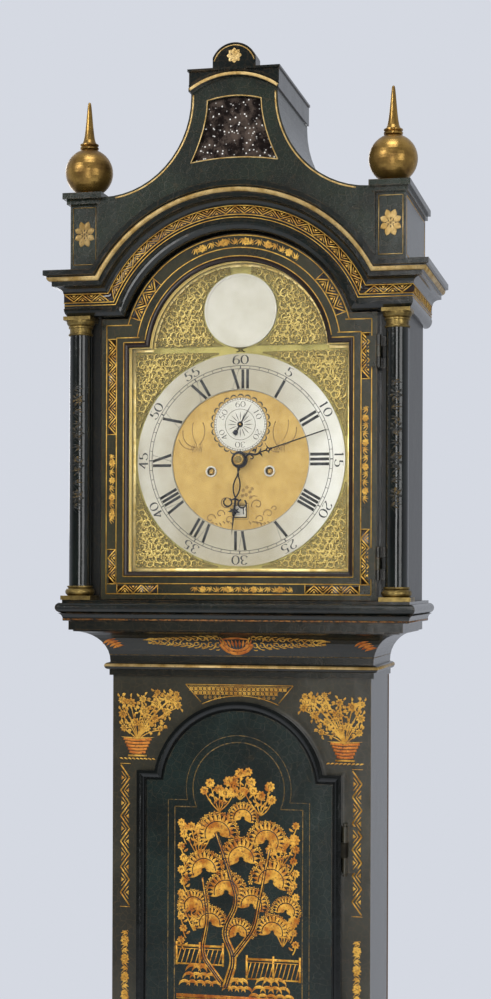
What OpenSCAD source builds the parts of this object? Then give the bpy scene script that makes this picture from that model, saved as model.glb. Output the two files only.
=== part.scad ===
// Longcase clock with an arched dial, eight-day movement and a japanned case. Millimetres.
// Every module is drawn about the dial centre: X to the viewer's right, Z up, Y to the back,
// with Y = 0 a little behind the trunk's front. at_dial() then moves it into the part's frame,
// which has its origin on the floor under the middle of the whole clock.

/* [Case] */
// height of the dial centre over the floor
dial_height = 1763; // [1650:1:1850]
// half the width of the trunk
trunk_half = 174; // [160:0.5:190]
// front face of the trunk frame
trunk_front = -6; // [-12:0.5:0]
// back face of the backboard
back_face = 155; // [140:1:180]
// thickness of the case boards
board = 12; // [9:0.5:18]
// thickness of the backboard
back_board = 13; // [10:0.5:16]
// top of the trunk frame under the throat moulding
trunk_top = -285; // [-300:1:-270]
// height of the throat moulding
throat_h = 72.7; // [60:0.1:80]
// top of the base, where the trunk's foot moulding starts
base_top = -1283; // [-1330:1:-1230]
// half the width of the base
base_half = 221.4; // [205:0.2:240]
// height of the skirting
skirting_h = 78; // [60:1:110]
// how far the skirting stands out from the base
skirting_out = 14.6; // [12:0.1:20]

/* [Hood] */
// half the width over the hood's side boards
hood_half = 221; // [210:0.5:230]
// front plane that the cornice stands on
hood_front = -35; // [-45:0.5:-25]
// width of the post beside the hood door, under a pedestal
post_w = 37; // [32:0.5:42]
// underside of the cornice
cornice_foot = 188.5; // [180:0.5:200]
// height of the cornice section
cornice_rise = 59.5; // [56:0.5:70]
// how far the cornice stands out
cornice_out = 33; // [31:0.5:38]
// centre of the break arch over the dial centre
arch_centre = 138.5; // [130:0.5:150]
// inner radius of the arched cornice
arch_inner = 158.5; // [150:0.5:165]
// top of the pedestals' caps
pedestal_top = 350; // [330:1:370]
// front of the pediment board
pediment_front = -53; // [-60:0.5:-45]
// half the width of the pediment's neck
neck_half = 57.3; // [50:0.1:64]
// underside of the cresting
cresting_foot = 474.1; // [460:0.1:490]
// height of the cresting's cap
cresting_h = 29; // [24:0.5:34]
// radius of a finial ball
finial_ball_r = 31.5; // [25:0.5:38]
// radius of a column shaft
column_r = 14.5; // [11:0.5:15]

/* [Hood door] */
// front face of the hood door
door_front = -31; // [-36:0.5:-29]
// thickness of the hood door
door_thick = 18; // [14:0.5:18.5]
// width of the ovolo round the glass
ovolo_w = 6.5; // [5:0.5:9]
// how far the sight opening laps over the dial's square edge
dial_lap = 5.4; // [3:0.1:8]
// how far it laps over the dial's arch
arch_lap = 9.5; // [6:0.1:12]

/* [Trunk door] */
// half the width over the trunk door's moulding
tdoor_half = 137.3; // [125:0.1:145]
// outer radius of the trunk door's arch
tdoor_arch_r = 115.3; // [105:0.1:125]
// height of the trunk frame over the door's arch
tdoor_drop = 32; // [26:0.5:40]
// how far the door's shoulders stand over its arch's centre
tdoor_shoulder_rise = 22.3; // [16:0.1:30]
// height of the trunk frame under the door
tdoor_foot = 123; // [90:1:150]
// width of the trunk door's moulding
tdoor_mould_w = 22; // [19:0.5:28]

/* [Dial] */
// width of the square of the dial plate
dial_w = 304.8; // [300:0.1:306]
// radius of the dial plate's arch
dial_arch_r = 129; // [126:0.5:130]
// front face of the dial plate
dial_front = -9; // [-10:0.5:-8]
// outer radius of the chapter ring
chapter_r = 139.7; // [135:0.1:141]
// inner radius of the chapter ring
chapter_in = 92; // [88:0.5:96]
// radius of the seconds ring
seconds_r = 35.4; // [32:0.1:38]
// height of the seconds arbor over the dial centre
seconds_z = 46.5; // [44:0.1:47]
// distance of each winding square from the middle
winding_x = 39.3; // [36:0.1:42]
// height of the winding squares
winding_z = -15; // [-18:0.1:-12]
// radius of the arch boss
boss_r = 48.5; // [44:0.5:52]
// height of the arch boss over the arch's centre
boss_rise = 57.5; // [52:0.5:60]

/* [Movement] */
// radius of the line on a winding barrel
barrel_line_r = 25; // [22:0.5:28]
// radius of a weight
weight_r = 29; // [25:0.5:32]
// length of a weight
weight_len = 200; // [160:1:240]
// bottom of a run-down weight over the floor
weight_foot = 120; // [80:1:200]
// length of the pendulum from its pivot to the bob's centre
pendulum_len = 994; // [990:0.5:998]
// radius of the pendulum bob
bob_r = 50; // [42:0.5:56]

/* [View] */
// node to draw

/* [Hidden] */
$fn = 48;
eps = 0.01;
// running gap between a sliding or swinging piece and its neighbour
slide_gap = 0.2;
floor_z = -dial_height;
case_back = back_face - back_board;
hood_back = case_back - 0.5;
base_step = base_half - trunk_half;
base_front = trunk_front - base_step;
throat_out = hood_half - trunk_half + 0.4;
front_most = hood_front - cornice_out;
depth_shift = -(back_face + front_most) / 2;
// the hood stands on the throat moulding
hood_foot = trunk_top + throat_h + slide_gap;
hood_floor = hood_foot + 27.6;
hood_base_front = trunk_front - throat_out + 7.4;
door_half = hood_half - post_w;
door_arch_r = arch_inner - 3.5;
door_back = door_front + door_thick;
sight_half = dial_w / 2 - dial_lap;
sight_shoulder = sight_half + 1.5;
sight_arch_r = dial_arch_r - arch_lap;
column_x = hood_half - 10;
column_y = hood_base_front + 9;
pedestal_x = hood_half - post_w / 2 + 0.75;
pedestal_half = post_w / 2 + 0.75;
cornice_top = cornice_foot + cornice_rise;
board_top = cornice_top - 5.5;
boss_z = arch_centre + boss_rise;
// trunk door
tdoor_arch_z = trunk_top - tdoor_drop - tdoor_arch_r;
tdoor_shoulder = tdoor_arch_z + tdoor_shoulder_rise;
tdoor_bottom = base_top + tdoor_foot;
// movement
plate_front = 14;
plate_back = 72;
plate_t = 3;
plate_foot = -98;
plate_top = 86;
line_y = 44;
pendulum_y = 108;
pallet_z = seconds_z + 25;
sheave_r = 20;
going_line_x = winding_x - barrel_line_r;
strike_line_x = -winding_x - barrel_line_r;
weight_top = floor_z + weight_foot + weight_len;
sheave_z = weight_top + 44;
escape_r = 16.6;
bell_r = 44;

// point at distance d from p, in the direction a
function step(p, d, a) = p + d * [cos(a), sin(a)];

// point at distance rp from p and rq from q, on the right of the way from p to q
function meet(p, rp, q, rq) =
    let (d = norm(q - p), u = (q - p) / d, a = (rp * rp - rq * rq + d * d) / (2 * d),
         h = sqrt(rp * rp - a * a))
    p + a * u + h * [u[1], -u[0]];

// tooth counts and modules of the trains, as [wheel, pinion that it drives, module]
great_t = [96, 8];
centre_t = [60, 8, 0.75];
third_t = [56, 7, 0.7];
strike_t = [78, 8, 0.8];
pin_t = [64, 8, 0.75];
gather_t = [56, 8, 0.7];
warn_t = [50, 7, 0.65];
motion_d = 25.55;

// distance of two arbors whose wheel and pinion mesh
function mesh_d(t) = (t[0] + t[1]) * t[2] / 2;

going_a = [winding_x, winding_z];
strike_a = [-winding_x, winding_z];
great_m = 2 * norm(going_a) / (great_t[0] + great_t[1]);
escape_a = [0, seconds_z];
third_a = meet([0, 0], mesh_d(centre_t), escape_a, mesh_d(third_t));
pin_a = step(strike_a, mesh_d(strike_t), 87.84);
gather_a = step(pin_a, mesh_d(pin_t), 53.8);
warn_a = step(gather_a, mesh_d(gather_t), 135.2);
fly_a = step(warn_a, mesh_d(warn_t) + 0.1, 41.3);
motion_a = [0, -motion_d];
hammer_a = [-56, 44];
pallet_a = [0, pallet_z];
// stud of the minute wheel, and the rear of the back cock
stud_r = 1.25;
cock_back = plate_back + plate_t + 4;

// wood, brass and steel colours of the preview
japan = [0.10, 0.12, 0.09];
gold = [0.72, 0.53, 0.22];
brass = [0.78, 0.63, 0.30];
steel = [0.30, 0.33, 0.42];
silver = [0.80, 0.79, 0.74];
oak = [0.35, 0.25, 0.15];

// moves a piece drawn about the dial centre into the part's frame
module at_dial() translate([0, depth_shift, dial_height]) children();

// points on an ellipse arc, a0 to a1, in n steps
function arc_pts(cx, cy, rx, ry, a0, a1, n) =
    [for (i = [0:n]) let (a = a0 + (a1 - a0) * i / n) [cx + rx * cos(a), cy + ry * sin(a)]];

// a list of points seen in a mirror at x = 0, in the opposite order
function mirrored(q) = [for (i = [len(q) - 1:-1:0]) [-q[i][0], q[i][1]]];

// a box given by its two corners
module span(lo, hi) translate(lo) cube([hi[0] - lo[0], hi[1] - lo[1], hi[2] - lo[2]]);

// a box on the side s (1 or -1) of the middle, from x0 to x1 away from it
module side_span(s, x0, x1, y0, y1, z0, z1)
    span([s > 0 ? x0 : -x1, y0, z0], [s > 0 ? x1 : -x0, y1, z1]);

// extrudes an X,Z outline from y0 back to y1
module slab(y0, y1) translate([0, y1, 0]) rotate([90, 0, 0]) linear_extrude(y1 - y0) children();

// a true cylinder along Y
module rod_y(x, z, r, y0, y1) translate([x, y1, z]) rotate([90, 0, 0]) cylinder(h = y1 - y0, r = r);

// a moulding of section prof (projection, height), mitred round front and sides of a box
module mitred_round(prof, half, front, back, base_z) {
    n = len(prof);
    z0 = prof[0][1];
    z1 = prof[n - 1][1];
    right = [for (q = prof) [half + q[0], q[1]]];
    difference() {
        intersection() {
            translate([-half - 100, 0, base_z]) rotate([90, 0, 90]) linear_extrude(2 * half + 200)
                polygon(concat([for (q = prof) [front - q[0], q[1]]], [[back, z1], [back, z0]]));
            translate([0, back, base_z]) rotate([90, 0, 0]) linear_extrude(back - front + 100)
                polygon(concat(right, mirrored(right)));
        }
        span([-half, front, base_z + z0 - 1], [half, back + 1, base_z + z1 + 1]);
    }
}

// outline of a break-arch opening, grown outwards by g
module break_arch(half, bottom, shoulder, r, zc, g) {
    translate([-half - g, bottom - g]) square([2 * (half + g), shoulder - bottom + 2 * g]);
    translate([0, zc]) circle(r + g);
}

// a moulding round a break-arch opening: its face rises from the opening outwards by section
// prof (offset from the opening, projection), so corners and knees mitre themselves
module break_arch_moulding(prof, half, bottom, shoulder, r, zc, y_back) {
    n = len(prof);
    w = prof[n - 1][0];
    top = prof[n - 1][1];
    far = top + 40;
    reach = half + w + 60;
    right = [for (q = prof) [half + q[0], -q[1]]];
    difference() {
        slab(y_back - top, y_back) difference() {
            break_arch(half, bottom, shoulder, r, zc, w);
            break_arch(half, bottom, shoulder, r, zc, 0);
        }
        translate([0, y_back, zc]) rotate([90, 0, 0]) rotate_extrude()
            polygon(concat([for (q = prof) [r + q[0], q[1]]],
                [[r + w, far], [0, far], [0, prof[0][1]]]));
        intersection() {
            translate([0, y_back, bottom - 60]) linear_extrude(shoulder - bottom + 120)
                polygon(concat(right, [[half + w, -far], [-half - w, -far]], mirrored(right)));
            translate([-reach, y_back, 0]) rotate([90, 0, 90]) linear_extrude(2 * reach)
                polygon(concat([for (q = prof) [-q[1], shoulder + q[0]]],
                    [[-far, shoulder + w], [-far, bottom - w]],
                    [for (i = [n - 1:-1:0]) [-prof[i][1], bottom - prof[i][0]]]));
        }
    }
}

// outline of a toothed wheel: n teeth on pitch radius rp, tooth centre at angle ph
function toothed(n, rp, add, ded, root, tip, ph) =
    [for (i = [0:n - 1]) for (k = [0:3])
        let (a = ph + 360 / n * (i + (k == 0 ? -root : k == 1 ? -tip : k == 2 ? tip : root)),
             r = (k == 0 || k == 3) ? rp - ded : rp + add)
        [r * cos(a), r * sin(a)]];

// a sector window of a crossed-out wheel
function window(r0, r1, a0, a1) =
    concat([for (i = [0:4]) let (a = a0 + (a1 - a0) * i / 4) r1 * [cos(a), sin(a)]],
           [for (i = [4:-1:0]) let (a = a0 + (a1 - a0) * i / 4) r0 * [cos(a), sin(a)]]);

// a crossed brass wheel on the arbor at c, with its front face at y0
module wheel(c, n, m, ph, y0, t, arms = 4) {
    rp = n * m / 2;
    turn = 360 / max(arms, 1);
    hub = 4.2 + rp * 0.1;
    translate([c[0], y0 + t, c[1]]) rotate([90, 0, 0]) linear_extrude(t) difference() {
        polygon(toothed(n, rp, 0.85 * m, 1.05 * m, 0.27, 0.12, ph));
        if (arms > 0) for (i = [0:arms - 1])
            polygon(window(hub, rp - 1.05 * m - 2.6, ph + turn * i + 10, ph + turn * (i + 1) - 10));
    }
}

// a steel pinion
module pinion(c, n, m, ph, y0, t) {
    rp = n * m / 2;
    translate([c[0], y0 + t, c[1]]) rotate([90, 0, 0]) linear_extrude(t)
        polygon(toothed(n, rp, 0.6 * m, 1.2 * m, 0.23, 0.13, ph));
}

// a rod along Y on the arbor at c
module on(c, r, y0, y1) rod_y(c[0], c[1], r, y0, y1);

// an arbor between the plates with its two pivots in the plates' holes
module arbor(c, r, pivot) {
    on(c, r, plate_front + plate_t + 0.5, plate_back - 0.5);
    on(c, pivot, plate_front + 0.2, plate_back + plate_t - 0.2);
}

// direction from the arbor at p to the arbor at q
function toward(p, q) = atan2(q[1] - p[1], q[0] - p[0]);

// Case

module skirting() {
    step_z = skirting_h - 16;
    prof = concat([[0, 0], [skirting_out, 0], [skirting_out, step_z], [skirting_out - 3.5, step_z]],
        arc_pts(4, step_z, skirting_out - 7.5, 11, 0, 90, 5), [[4, skirting_h], [0, skirting_h]]);
    color(japan) at_dial() mitred_round(prof, base_half, base_front, case_back, floor_z);
}

module base_boards() color(japan) at_dial() {
    panel = base_half - 43.4;
    panel_foot = floor_z + skirting_h + 62;
    span([-base_half, base_front, floor_z + 6], [base_half, base_front + board, base_top]);
    for (s = [-1, 1])
        side_span(s, base_half - board, base_half, base_front + board, case_back, floor_z + 6, base_top);
    // applied border of the front's panel
    difference() {
        span([-panel, base_front - 4, panel_foot], [panel, base_front, base_top - 40]);
        span([-panel + 18, base_front - 5, panel_foot + 18], [panel - 18, base_front - 0.6, base_top - 58]);
    }
}

module base_moulding() {
    prof = concat([[0, 0], [base_step + 3.6, 0], [base_step + 3.6, 5], [base_step, 5]],
        arc_pts(base_step, 44, base_step - 4, 36, 270, 180, 8), [[4, 46], [2.5, 46], [2.5, 50], [0, 50]]);
    color(japan) at_dial() mitred_round(prof, trunk_half, trunk_front, case_back, base_top);
}

module tdoor_outline(g)
    break_arch(tdoor_half, tdoor_bottom, tdoor_shoulder, tdoor_arch_r, tdoor_arch_z, g);

module trunk_frame() color(japan) at_dial() slab(trunk_front, trunk_front + 16) difference() {
    translate([-trunk_half, base_top]) square([2 * trunk_half, trunk_top + throat_h - base_top]);
    tdoor_outline(-10.5);
}

module trunk_sides() color(japan) at_dial() for (s = [-1, 1])
    side_span(s, trunk_half - board, trunk_half, trunk_front + 16, case_back, base_top, plate_foot - 20);

module backboard() {
    half = hood_half - board - 1;
    right = [[base_half, floor_z], [base_half, base_top], [trunk_half, base_top + 50],
        [trunk_half, trunk_top + 60], [half, trunk_top + 73], [half, board_top]];
    color(oak) at_dial() slab(case_back, back_face) {
        polygon(concat(right, mirrored(right)));
        // arched head behind the hood's roof
        intersection() {
            translate([0, arch_centre]) circle(arch_inner + 40);
            translate([-300, 0]) square([600, 600]);
        }
    }
}

module throat_moulding() {
    lip = throat_out - 4.9;
    lip_z = throat_h - 11.7;
    prof = concat([[0, 0], [4, 0], [4, 7.5]], arc_pts(5, 12.3, 4.6, 4.6, -90, 90, 8),
        [[3.2, 17.4], [3.2, 19]], arc_pts(lip, 19, lip - 3.2, lip_z - 21, 180, 90, 9),
        [[lip, lip_z], [throat_out, lip_z], [throat_out, throat_h], [0, throat_h]]);
    color(japan) at_dial() mitred_round(prof, trunk_half, trunk_front, case_back, trunk_top);
}

module seatboard() color(oak) at_dial() difference() {
    span([-trunk_half, 12, plate_foot - 20], [trunk_half, case_back, plate_foot]);
    for (x = [going_line_x, going_line_x + 2 * sheave_r, strike_line_x, strike_line_x + 2 * sheave_r])
        translate([x, line_y, plate_foot - 30]) cylinder(h = 40, r = 3);
    span([-20, pendulum_y - 14, plate_foot - 21], [20, back_face, plate_foot + 1]);
}

// Trunk door

hinge_z = [tdoor_shoulder - 97, tdoor_bottom + 97];
tdoor_pin_x = tdoor_half + 4.2;
tdoor_pin_y = trunk_front - 6.5;

// vertical cylinder about a hinge axis
module post(x, y, r, z0, z1) translate([x, y, z0]) cylinder(h = z1 - z0, r = r);

module trunk_frame_hinges() color(brass) at_dial() for (z = hinge_z) {
    for (k = [-30, 10]) {
        post(tdoor_pin_x, tdoor_pin_y, 3.6, z + k, z + k + 20);
        span([tdoor_pin_x, tdoor_pin_y, z + k], [tdoor_pin_x + 3.5, trunk_front, z + k + 20]);
    }
    post(tdoor_pin_x, tdoor_pin_y, 1.5, z - 32, z + 32);
    for (e = [-34, 32]) post(tdoor_pin_x, tdoor_pin_y, 2.6, z + e, z + e + 2);
    span([tdoor_pin_x, trunk_front - 1.4, z - 30], [tdoor_pin_x + 16, trunk_front, z + 30]);
}

module trunk_door_panel() color(japan) at_dial() slab(trunk_front - 8, 8) tdoor_outline(-12.6);

module trunk_door_moulding() {
    w = tdoor_mould_w;
    prof = concat([[0, 0.6], [2, 0.6], [2, 1.4]], arc_pts(2, 5, 7, 3.6, -90, 0, 4), [[9, 6], [11.5, 6]],
        arc_pts(w - 4, 6, 6.5, 6, 180, 90, 6), [[w, 12]]);
    color(japan) at_dial() difference() {
        break_arch_moulding(prof, tdoor_half - w, tdoor_bottom + w, tdoor_shoulder - w, tdoor_arch_r - w,
            tdoor_arch_z, trunk_front - 1);
        slab(trunk_front - 8, 0) tdoor_outline(-12.6 + eps);
    }
}

module trunk_door_hardware() color(brass) at_dial() {
    for (z = hinge_z) difference() {
        union() {
            post(tdoor_pin_x, tdoor_pin_y, 3.6, z - 9.7, z + 9.7);
            span([tdoor_half, tdoor_pin_y - 3.6, z - 9.7], [tdoor_pin_x, tdoor_pin_y - 1.6, z + 9.7]);
        }
        post(tdoor_pin_x, tdoor_pin_y, 1.56, z - 12, z + 12);
    }
    // escutcheon, and the lock behind the door with its bolt
    key = [29.3 - tdoor_half, (tdoor_shoulder + tdoor_bottom) / 2 + 15];
    difference() {
        slab(trunk_front - 9.4, trunk_front - 8) translate(key) {
            circle(7);
            translate([0, -11]) circle(5);
            translate([-4, -10]) square([8, 9]);
        }
        on(key, 2, trunk_front - 10, trunk_front - 7);
        span([key[0] - 1, trunk_front - 10, key[1] - 8], [key[0] + 1, trunk_front - 7, key[1]]);
    }
    span([key[0] - 14, 8, key[1] - 30], [key[0] + 12, 15, key[1] + 30]);
    span([key[0] - 16, 9.5, key[1] - 6], [key[0] - 14, 13.5, key[1] + 6]);
}

// Hood

module hood_base_frame() {
    prof = concat([[0, 0], [8.2, 0], [8.2, 2]], arc_pts(14.2, 2, 6, 8, 180, 90, 5),
        arc_pts(10, 17.5, 6.6, 6.6, -90, 90, 10), [[9, 24.1], [9, 27.6], [0, 27.6]]);
    color(japan) at_dial() {
        mitred_round(prof, hood_half, hood_base_front, hood_back, hood_foot);
        span([-hood_half, hood_base_front, hood_foot], [hood_half, 8, hood_floor]);
        for (s = [-1, 1]) side_span(s, trunk_half + 3, hood_half, 8, hood_back, hood_foot, hood_floor);
    }
}

module hood_sides() color(japan) at_dial() for (s = [-1, 1]) {
    side_span(s, hood_half - board, hood_half, 0.2, hood_back, hood_floor, board_top);
    side_span(s, door_half + 5, hood_half, -16.4, -12.1, hood_floor, cornice_foot);
}

// outline of the hood's front over the shoulder line z, with its arch of radius r
module hood_front_outline(z, r) {
    translate([-hood_half, z]) square([2 * hood_half, board_top - z]);
    intersection() {
        translate([0, arch_centre]) circle(r);
        translate([-300, max(z, 0)]) square([600, 600]);
    }
}

module hood_front_boards() color(japan) at_dial() {
    // mask round the dial, rebated behind so that its lip covers the dial plate's edge
    difference() {
        slab(-12, 0) difference() {
            hood_front_outline(hood_floor, arch_inner + 44);
            break_arch(sight_half, -sight_half, sight_shoulder, sight_arch_r, arch_centre, 0.5);
        }
        slab(dial_front - 0.2, 1)
            break_arch(dial_w / 2, -dial_w / 2, dial_w / 2, dial_arch_r + 1, arch_centre, 1);
    }
    // board over the door that the cornice is fixed to
    slab(hood_front, -12.1) difference() {
        hood_front_outline(cornice_foot, arch_inner + 52);
        translate([0, arch_centre]) circle(arch_inner);
    }
}

// section of the cornice: projection and height over its foot
cornice_prof = concat([[2, 0]], arc_pts(3, 11, 8, 11, -90, 0, 6),
    [[10.2, 11.6], [10.2, 18], [10.6, 18.6], [10.6, 30.6], [11.4, 31]],
    arc_pts(21, 31, 9.6, 8, 180, 90, 6), [[23.6, 39.4], [23.6, 44.6]], arc_pts(24, 50.6, 5, 5.6, -90, 0, 5),
    [[29, 51.6], [cornice_out, 52.4], [cornice_out, cornice_rise]]);

module hood_cornice() {
    depth = back_face - hood_front;
    right = [for (q = cornice_prof) [hood_half + q[0], q[1]]];
    color(japan) at_dial() difference() {
        intersection() {
            // straight section along the front, then along the sides: together they mitre the corners
            translate([-400, 0, cornice_foot]) rotate([90, 0, 90]) linear_extrude(800)
                polygon(concat([for (q = cornice_prof) [hood_front - q[0], q[1]]],
                    [[hood_front - cornice_out, 200], [back_face, 200], [back_face, 0]]));
            translate([0, back_face, cornice_foot]) rotate([90, 0, 0]) linear_extrude(depth + 100)
                polygon(concat(right, [[hood_half + cornice_out, 200], [-hood_half - cornice_out, 200]],
                    mirrored(right)));
            // the same section turned about the arch centre: where both hold, the knees mitre
            translate([0, hood_front, arch_centre]) rotate([90, 0, 0]) rotate_extrude()
                polygon(concat([[arch_inner, -depth - 1]], [for (q = cornice_prof) [arch_inner + q[1], q[0]]],
                    [[420, cornice_out], [420, -depth - 1]]));
            slab(hood_front - 50, back_face) {
                translate([-300, cornice_foot - 1]) square([600, cornice_rise + 1]);
                translate([0, arch_centre]) circle(arch_inner + cornice_rise);
            }
        }
        span([-hood_half, hood_front, cornice_foot - 1], [hood_half, back_face + 1, 500]);
    }
}

module hood_roof() color(oak) at_dial() {
    outer = arch_inner + 47;
    inner = arch_inner + 41;
    flat_in = sqrt(pow(inner + 2, 2) - pow(board_top - arch_centre, 2));
    difference() {
        slab(0.2, hood_back) translate([0, arch_centre]) circle(outer);
        slab(0, back_face) translate([0, arch_centre]) circle(inner);
        span([-300, -1, -100], [300, 200, board_top + 6]);
    }
    for (s = [-1, 1]) side_span(s, flat_in, hood_half, 0.2, hood_back, board_top + 0.1, board_top + 5.4);
}

// a box on side s about a pedestal, grown by g towards the middle and by out away from it
module pedestal_box(s, g, out, y0, y1, z0, z1)
    side_span(s, pedestal_x - pedestal_half - g, pedestal_x + pedestal_half + out, y0, y1, z0, z1);

module side_pedestals() color(japan) at_dial() for (s = [-1, 1]) {
    difference() {
        pedestal_box(s, 0, 0, -47, 150, cornice_top, pedestal_top - 14);
        pedestal_box(s, -8, -8, -39, 142, cornice_top - 1, pedestal_top - 20);
        // scribed to the arch of the cornice
        rod_y(0, arch_centre, arch_inner + cornice_rise + 0.1, -60, 160);
    }
    pedestal_box(s, 4, 3.5, -53, 151.5, pedestal_top - 14, pedestal_top - 8);
    pedestal_box(s, 7.5, 7.2, -60, 153, pedestal_top - 8, pedestal_top);
}

module finials() color(gold) at_dial() for (s = [-1, 1])
    translate([s * pedestal_x, -27, pedestal_top]) rotate_extrude()
        polygon(concat([[0, 0], [15, 0], [15, 2], [12.5, 3]],
            arc_pts(0, 32, finial_ball_r, finial_ball_r, -68, 68, 18),
            [[9, 62], [12, 63], [12.6, 65], [10.5, 66.5], [12.3, 68], [12.3, 69.5], [9.4, 71]],
            [[7.7, 75], [6.4, 82], [5.2, 92], [4.1, 104], [3, 116], [2.2, 123], [1.4, 125.4], [0, 126]]));

// the pediment's sides are quarters of an ellipse that sweep in from the pedestals to the neck
neck_foot = pedestal_top - 6;
neck_top = cresting_foot - 6;
neck_wide = pedestal_x - pedestal_half - 7.7;

// the right side from its foot up, moved in and down by t
function neck(t) = concat(
    arc_pts(neck_wide, neck_top, neck_wide - neck_half + t, neck_top - neck_foot + t, 270, 180, 14),
    [[neck_half - t, cresting_foot - 0.1]]);

// radius of the arch under the cresting, and how far its centre lies below the cresting's foot
cresting_r = 98.7;
cresting_drop = 80.3;

// the rounded head of the pediment's boards, which rises into the cresting, narrower than the neck by t
module neck_head(t) intersection() {
    translate([0, cresting_foot - cresting_drop]) circle(cresting_r - 0.1);
    translate([t - neck_half, cresting_foot - 2]) square([2 * (neck_half - t), 30]);
}

module pediment_case() color(japan) at_dial() {
    wide = pedestal_x - pedestal_half - 0.2;
    wall = 6;
    // front board, standing on the arch and notched round the pedestals' caps
    right = concat([[wide, cornice_top], [wide, pedestal_top - 14.1], [wide - 4, pedestal_top - 14.1],
        [wide - 4, pedestal_top - 8.1], [neck_wide, pedestal_top - 8.1]], neck(0));
    slab(pediment_front, pediment_front + 12) difference() {
        union() {
            polygon(concat(right, mirrored(right)));
            neck_head(1);
        }
        translate([0, arch_centre]) circle(arch_inner + cornice_rise + 0.05);
        mirror_outline(0);
    }
    // concave side boards to the back, and the back board between them
    inner = neck(wall);
    back = concat([[neck_wide - 7, 300]], neck(wall + 0.3));
    side = concat(neck(0), [for (i = [len(inner) - 1:-1:0]) inner[i]]);
    for (s = [-1, 1]) slab(pediment_front + 12, 150) polygon([for (q = side) [s * q[0], q[1]]]);
    slab(144, 150) difference() {
        union() {
            polygon(concat(back, mirrored(back)));
            neck_head(wall + 2);
        }
        translate([0, arch_centre]) circle(arch_inner + 47.2);
    }
}

// the mirror's opening in the pediment, grown by g: its sides follow the neck, its head and foot are bowed
module mirror_outline(g) {
    foot = pedestal_top + 34 - g;
    head = cresting_foot - 12.6 + g;
    foot_half = neck_half - 0.8;
    head_half = neck_half - 22.8;
    side = [for (i = [0:6]) let (t = i / 6)
        [head_half + (foot_half - head_half) * pow(1 - t, 1.8) + g, foot + (head - foot) * t]];
    bow = [for (x = [2 / 3, 1 / 3, 0, -1 / 3, -2 / 3]) [x, 5 * (1 - x * x)]];
    polygon(concat(side, [for (q = bow) [q[0] * head_half, head + q[1]]], mirrored(side),
        [for (q = bow) [-q[0] * foot_half, foot + q[1]]]));
}

// what stands over the arch, from g outside it and as wide as w
module cresting_arch(g, half, high, w) difference() {
    intersection() {
        translate([-half, cresting_foot]) square([2 * half, high]);
        translate([0, cresting_foot - cresting_drop]) circle(cresting_r + g + w);
    }
    translate([0, cresting_foot - cresting_drop]) circle(cresting_r + g);
}

module pediment_cresting() color(gold) at_dial() {
    half = neck_half + 2.2;
    // arched cap with an upright end at each side, back to the rear of the hood
    slab(pediment_front - 3, 151) cresting_arch(0, half, cresting_h, 200);
    // two raised bands that follow the arch across its front, and a fillet along the top
    slab(pediment_front - 6, pediment_front - 2.9) cresting_arch(0, half, cresting_h, 5);
    slab(pediment_front - 4.6, pediment_front - 2.9) cresting_arch(6.6, half, cresting_h, 2);
    top = cresting_foot + cresting_h;
    span([-half - 1.6, pediment_front - 6, top - 3], [half + 1.6, 151, top]);
    slab(pediment_front - 1, pediment_front + 26) intersection() {
        translate([0, cresting_foot + cresting_h + 1.9]) circle(31);
        translate([-28.5, cresting_foot + cresting_h]) square([57, 40]);
    }
}

module mirror_plate() color(silver) at_dial()
    slab(pediment_front + 4, pediment_front + 7) mirror_outline(-0.4);

shaft_foot = hood_floor + 18.5;
shaft_top = cornice_foot - 24.5;

module hood_columns() color(japan) at_dial() for (s = [-1, 1])
    translate([s * column_x, column_y, shaft_foot]) cylinder(h = shaft_top - shaft_foot, r = column_r);

// turned base and capital, from the shaft outwards by the sections' own widths
module column_mounts() color(brass) at_dial() for (s = [-1, 1]) translate([s * column_x, column_y, 0]) {
    r = column_r;
    span([-r - 6, -r - 6, hood_floor], [r + 6, r + 6, hood_floor + 5.5]);
    translate([0, 0, hood_floor + 5.5]) rotate_extrude() polygon(concat([[0, 0], [r + 1.5, 0]],
        arc_pts(r, 5, 5, 5, -70, 80, 7), [[r + 1.1, 10.4], [r + 2.5, 11], [r + 2.5, 13], [0, 13]]));
    translate([0, 0, shaft_top]) rotate_extrude() polygon(concat([[0, 0], [r + 1.1, 0], [r + 2.1, 1.5],
        [r + 1.1, 3], [r + 0.1, 3.4], [r + 0.1, 9.5], [r + 1.9, 10], [r + 1.9, 12]],
        arc_pts(r + 0.5, 19.5, 4, 6.5, -80, 0, 4), [[0, 19.5]]));
    span([-r - 4, -r - 4, cornice_foot - 5], [r + 4, r + 4, cornice_foot - 0.1]);
}

// Hood door

door_pin_x = door_half + 2.5;
door_pin_y = door_front - 4;
door_hinge_z = [-136, 136];

module hood_frame_hinges() color(brass) at_dial() for (z = door_hinge_z) {
    for (k = [-21, 7.5]) {
        post(door_pin_x, door_pin_y, 3.2, z + k, z + k + 13.5);
        span([door_pin_x - 1.3, door_pin_y, z + k], [door_pin_x + 2.1, -16.4, z + k + 13.5]);
        span([door_pin_x + 2.1, -18.4, z + k], [door_pin_x + 7, -16.4, z + k + 13.5]);
    }
    post(door_pin_x, door_pin_y, 1.3, z - 22, z + 22);
}

module hood_door_hinges() color(brass) at_dial() for (z = door_hinge_z) difference() {
    union() {
        post(door_pin_x, door_pin_y, 3.2, z - 7.2, z + 7.2);
        span([door_pin_x - 16.5, door_front - 1.4, z - 20], [door_pin_x - 3.3, door_front, z + 20]);
        span([door_pin_x - 4.5, door_front - 2.6, z - 7.2], [door_pin_x, door_front - 0.3, z + 7.2]);
    }
    post(door_pin_x, door_pin_y, 1.36, z - 30, z + 30);
}

// the sight opening of the hood door, grown by g
module sight_outline(g) break_arch(sight_half, -sight_half, sight_shoulder, sight_arch_r, arch_centre, g);

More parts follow.
